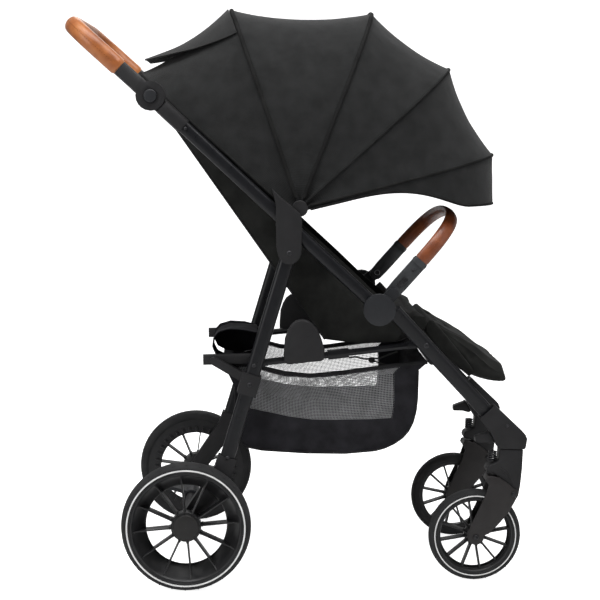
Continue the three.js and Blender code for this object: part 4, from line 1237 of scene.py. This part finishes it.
# ---- Basket: sewn bag with net windows ----
# A bag of black polyester hung from the cross tube and the rear rails. Its sides are open net with a
# solid foot, its rim is bound with elastic tape that sags between its hangers, and a cord closes it.
basket_cloth = woven("basket_polyester", 0.82, 0.16, 0.0017, 0.00014, (0.010, 0.0098, 0.0118),
                     (0.024, 0.0235, 0.028))
net_thread = plain("net_thread", 0.7, 0.2, 0.02, (0.26, 0.262, 0.267), (0.36, 0.362, 0.37))
elastic = woven("elastic_tape", 0.75, 0.2, 0.0013, 0.00012, (0.009, 0.009, 0.010), (0.020, 0.020, 0.021))
bag_rear, bag_front, bag_foot, bag_rim = ([side_place(*p) for p in line] for line in (
    ((112, 277), (100, 300), (94, 345), (92, 398), (66, 450)),
    ((381, 273), (401, 279), (420, 288.5), (437, 301), (449, 316), (457, 334), (462, 356), (464, 381),
     (464, 440), (483, 458)),
    ((112, 277), (150, 270), (240, 266), (320, 266.5), (381, 273)),
    ((66, 450), (112, 447), (147, 440), (190, 430), (245, 426), (300, 432), (350, 440), (414, 450), (483, 458))))


def sinks(piece):
    """Gives a piece of the bag its own copy of its mesh."""
    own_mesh(piece)


def bag_side(side):
    def place(u, v):
        left, right_edge = along(bag_rear, v), along(bag_front, v)
        low, high = along(bag_foot, u), along(bag_rim, u)
        corner = (bag_foot[0].lerp(bag_foot[-1], u)).lerp(bag_rim[0].lerp(bag_rim[-1], u), v)
        p = left.lerp(right_edge, u) + low.lerp(high, v) - corner
        hang = math.sin(math.pi * min(max(v, 0), 1)) * math.sin(math.pi * u)
        pleat = 0.0024 * math.sin(u * 26) * (1 - v) ** 2 * math.sin(math.pi * u)
        out = seat_half + 0.006 * hang * (1 - 0.4 * v) + pleat + puckered(p, 0.0025, 16, side) * hang
        return Vector((p.x, side * out, p.z))
    return place


window = (0.07, 0.865, 0.49, 0.965)
bag_size = (0.37, 0.19)
for hand, side in left_first:
    place = bag_side(side)
    cloth = draped_grid(f"basket_side_{hand}", 100, 50, place, bag_size)
    area, cut = flat_size(cloth)
    only(cloth)
    bpy.ops.object.mode_set(mode="EDIT")
    bpy.ops.mesh.select_all(action="DESELECT")
    mesh = bmesh.from_edit_mesh(cloth.data)
    uv = mesh.loops.layers.uv.active
    for f in mesh.faces:
        cu = sum(loop[uv].uv.x for loop in f.loops) / len(f.loops) / bag_size[0]
        cv = sum(loop[uv].uv.y for loop in f.loops) / len(f.loops) / bag_size[1]
        f.select = window[0] < cu < window[1] and window[2] < cv < window[3]
    bmesh.update_edit_mesh(cloth.data)
    bpy.ops.mesh.delete(type="FACE")
    bpy.ops.object.mode_set(mode="OBJECT")
    area = sum(p.area for p in cloth.data.polygons)
    thickened(cloth, 0.0014)
    placed(cloth, [], basket_cloth, "front_frame", 60)
    sinks(cloth)

    def net_place(u, v):
        return place(window[0] - 0.01 + (window[1] - window[0] + 0.02) * u,
                     window[2] - 0.01 + (window[3] - window[2] + 0.03) * v)

    net = draped_grid(f"basket_net_{hand}", 100, 31, net_place, (0.3, 0.1))
    only(net)
    strands = net.modifiers.new("strands", "WIREFRAME")
    strands.thickness, strands.use_even_offset, strands.use_boundary = 0.0016, False, True
    bpy.ops.object.modifier_apply(modifier="strands")
    placed(net, [], net_thread, "front_frame")
    sinks(net)
    rim_path = [flat_side(along(bag_rim, k / 50), side * seat_half) for k in range(51)]
    tape = sleeve(f"basket_rim_tape_{hand}", rim_path, (0, 1, 0), lambda u: (0.0042, 0.0016), 12)
    outline = bag_rear[::-1][1:] + bag_foot[1:-1] + bag_front[:-1]
    edge_path = [flat_side(along(outline, k / 90), side * 0.1895) for k in range(91)]
    welt = sleeve(f"basket_edge_welt_{hand}", edge_path, (0, 1, 0), lambda u: (0.0022, 0.0024), 10)
    for piece in (tape, welt):
        placed(piece, [], elastic, "front_frame", 60)
        sinks(piece)

strip_line = bag_rear[::-1] + bag_foot[1:-1] + bag_front


def strip_place(u, v):
    p = along(strip_line, u)
    y = (v - 0.5) * 2
    belly = (1 - y * y) * 0.008
    low = math.exp(-((p.z - bag_foot[0].z) / 0.05) ** 2)
    ripple = puckered(Vector((p.x, y * 0.19, p.z)), 0.002, 15)
    return Vector((p.x, y * seat_half, p.z - belly * low * 0.6 + ripple))


strip = draped_grid("basket_floor_strip", 110, 40, strip_place, (0.9, 0.377))
area, cut = flat_size(strip)
thickened(strip, 0.0016)
placed(strip, [], basket_cloth, "front_frame", 60)
sinks(strip)
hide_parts("basket")


cuff_outline = [(132, 458), (100, 452), (70, 455), (52, 464), (44, 480), (46, 499), (56, 511), (78, 518),
                (108, 517), (134, 511)]
cuff_line = [side_place(*p) for p in cuff_outline]


def cuff_place(u, v):
    """The near rear corner of the bag, carried back over its rail as a soft cuff."""
    y = -0.28 - 0.72 * u
    p = along(cuff_line, v)
    sag = (1 - u) * 0.010 * math.sin(math.pi * v)
    return Vector((p.x, y * 0.188, p.z - sag + puckered(Vector((p.x, y * 0.19, p.z)), 0.0035, 18)))


wall = standing_plate("basket_cuff_wall", cuff_outline, -54, -52.4, 0.3)
placed(wall, [], basket_cloth, "rear_legs", 60)
cuff = draped_grid("basket_cuff", 36, 40, cuff_place, (0.136, 0.24))
area, cut = flat_size(cuff)
thickened(cuff, 0.0016)
placed(cuff, [], basket_cloth, "rear_legs", 60)

# The drawstring's knot and its two free ends hang at the rim, in front of the link's sleeve.
cord_cloth = woven("drawstring", 0.7, 0.2, 0.0009, 0.0001, (0.006, 0.006, 0.006), (0.014, 0.014, 0.014))
knot = (368, 459.7, 186.5)
ends = [
    ("long", [(322, 464, 184), (336, 466, 185), (352, 462, 186), (384, 463, 186), (403, 472, 186),
              (421, 478, 185)]),
    ("short", [knot, (380, 456, 186), (392, 452, 186), (405, 449, 185)]),
]
for label, points in ends:
    line = [side_place(x, z, -y) for x, z, y in points]
    run = [along(line, k / 24) for k in range(25)]
    cord = sleeve(f"drawstring_{label}", run, (0, 1, 0), lambda u: (0.0017, 0.0017), 10)
    placed(cord, [], cord_cloth, "front_frame", 60)
    tuple(run[0])
    [tuple(p) for p in run]
for k in range(2):
    bpy.ops.object.select_all(action="DESELECT")
    bpy.ops.mesh.primitive_torus_add(location=side_place(knot[0] + 2 * k, knot[1], -knot[2]), major_segments=28,
                                     minor_segments=10, major_radius=0.0042, minor_radius=0.0022,
                                     rotation=(1.2, 0.6 + k, 0.3))
    turn = settled(added(f"drawstring_knot_{k + 1}"))
    placed(turn, [], cord_cloth, "front_frame", 60)
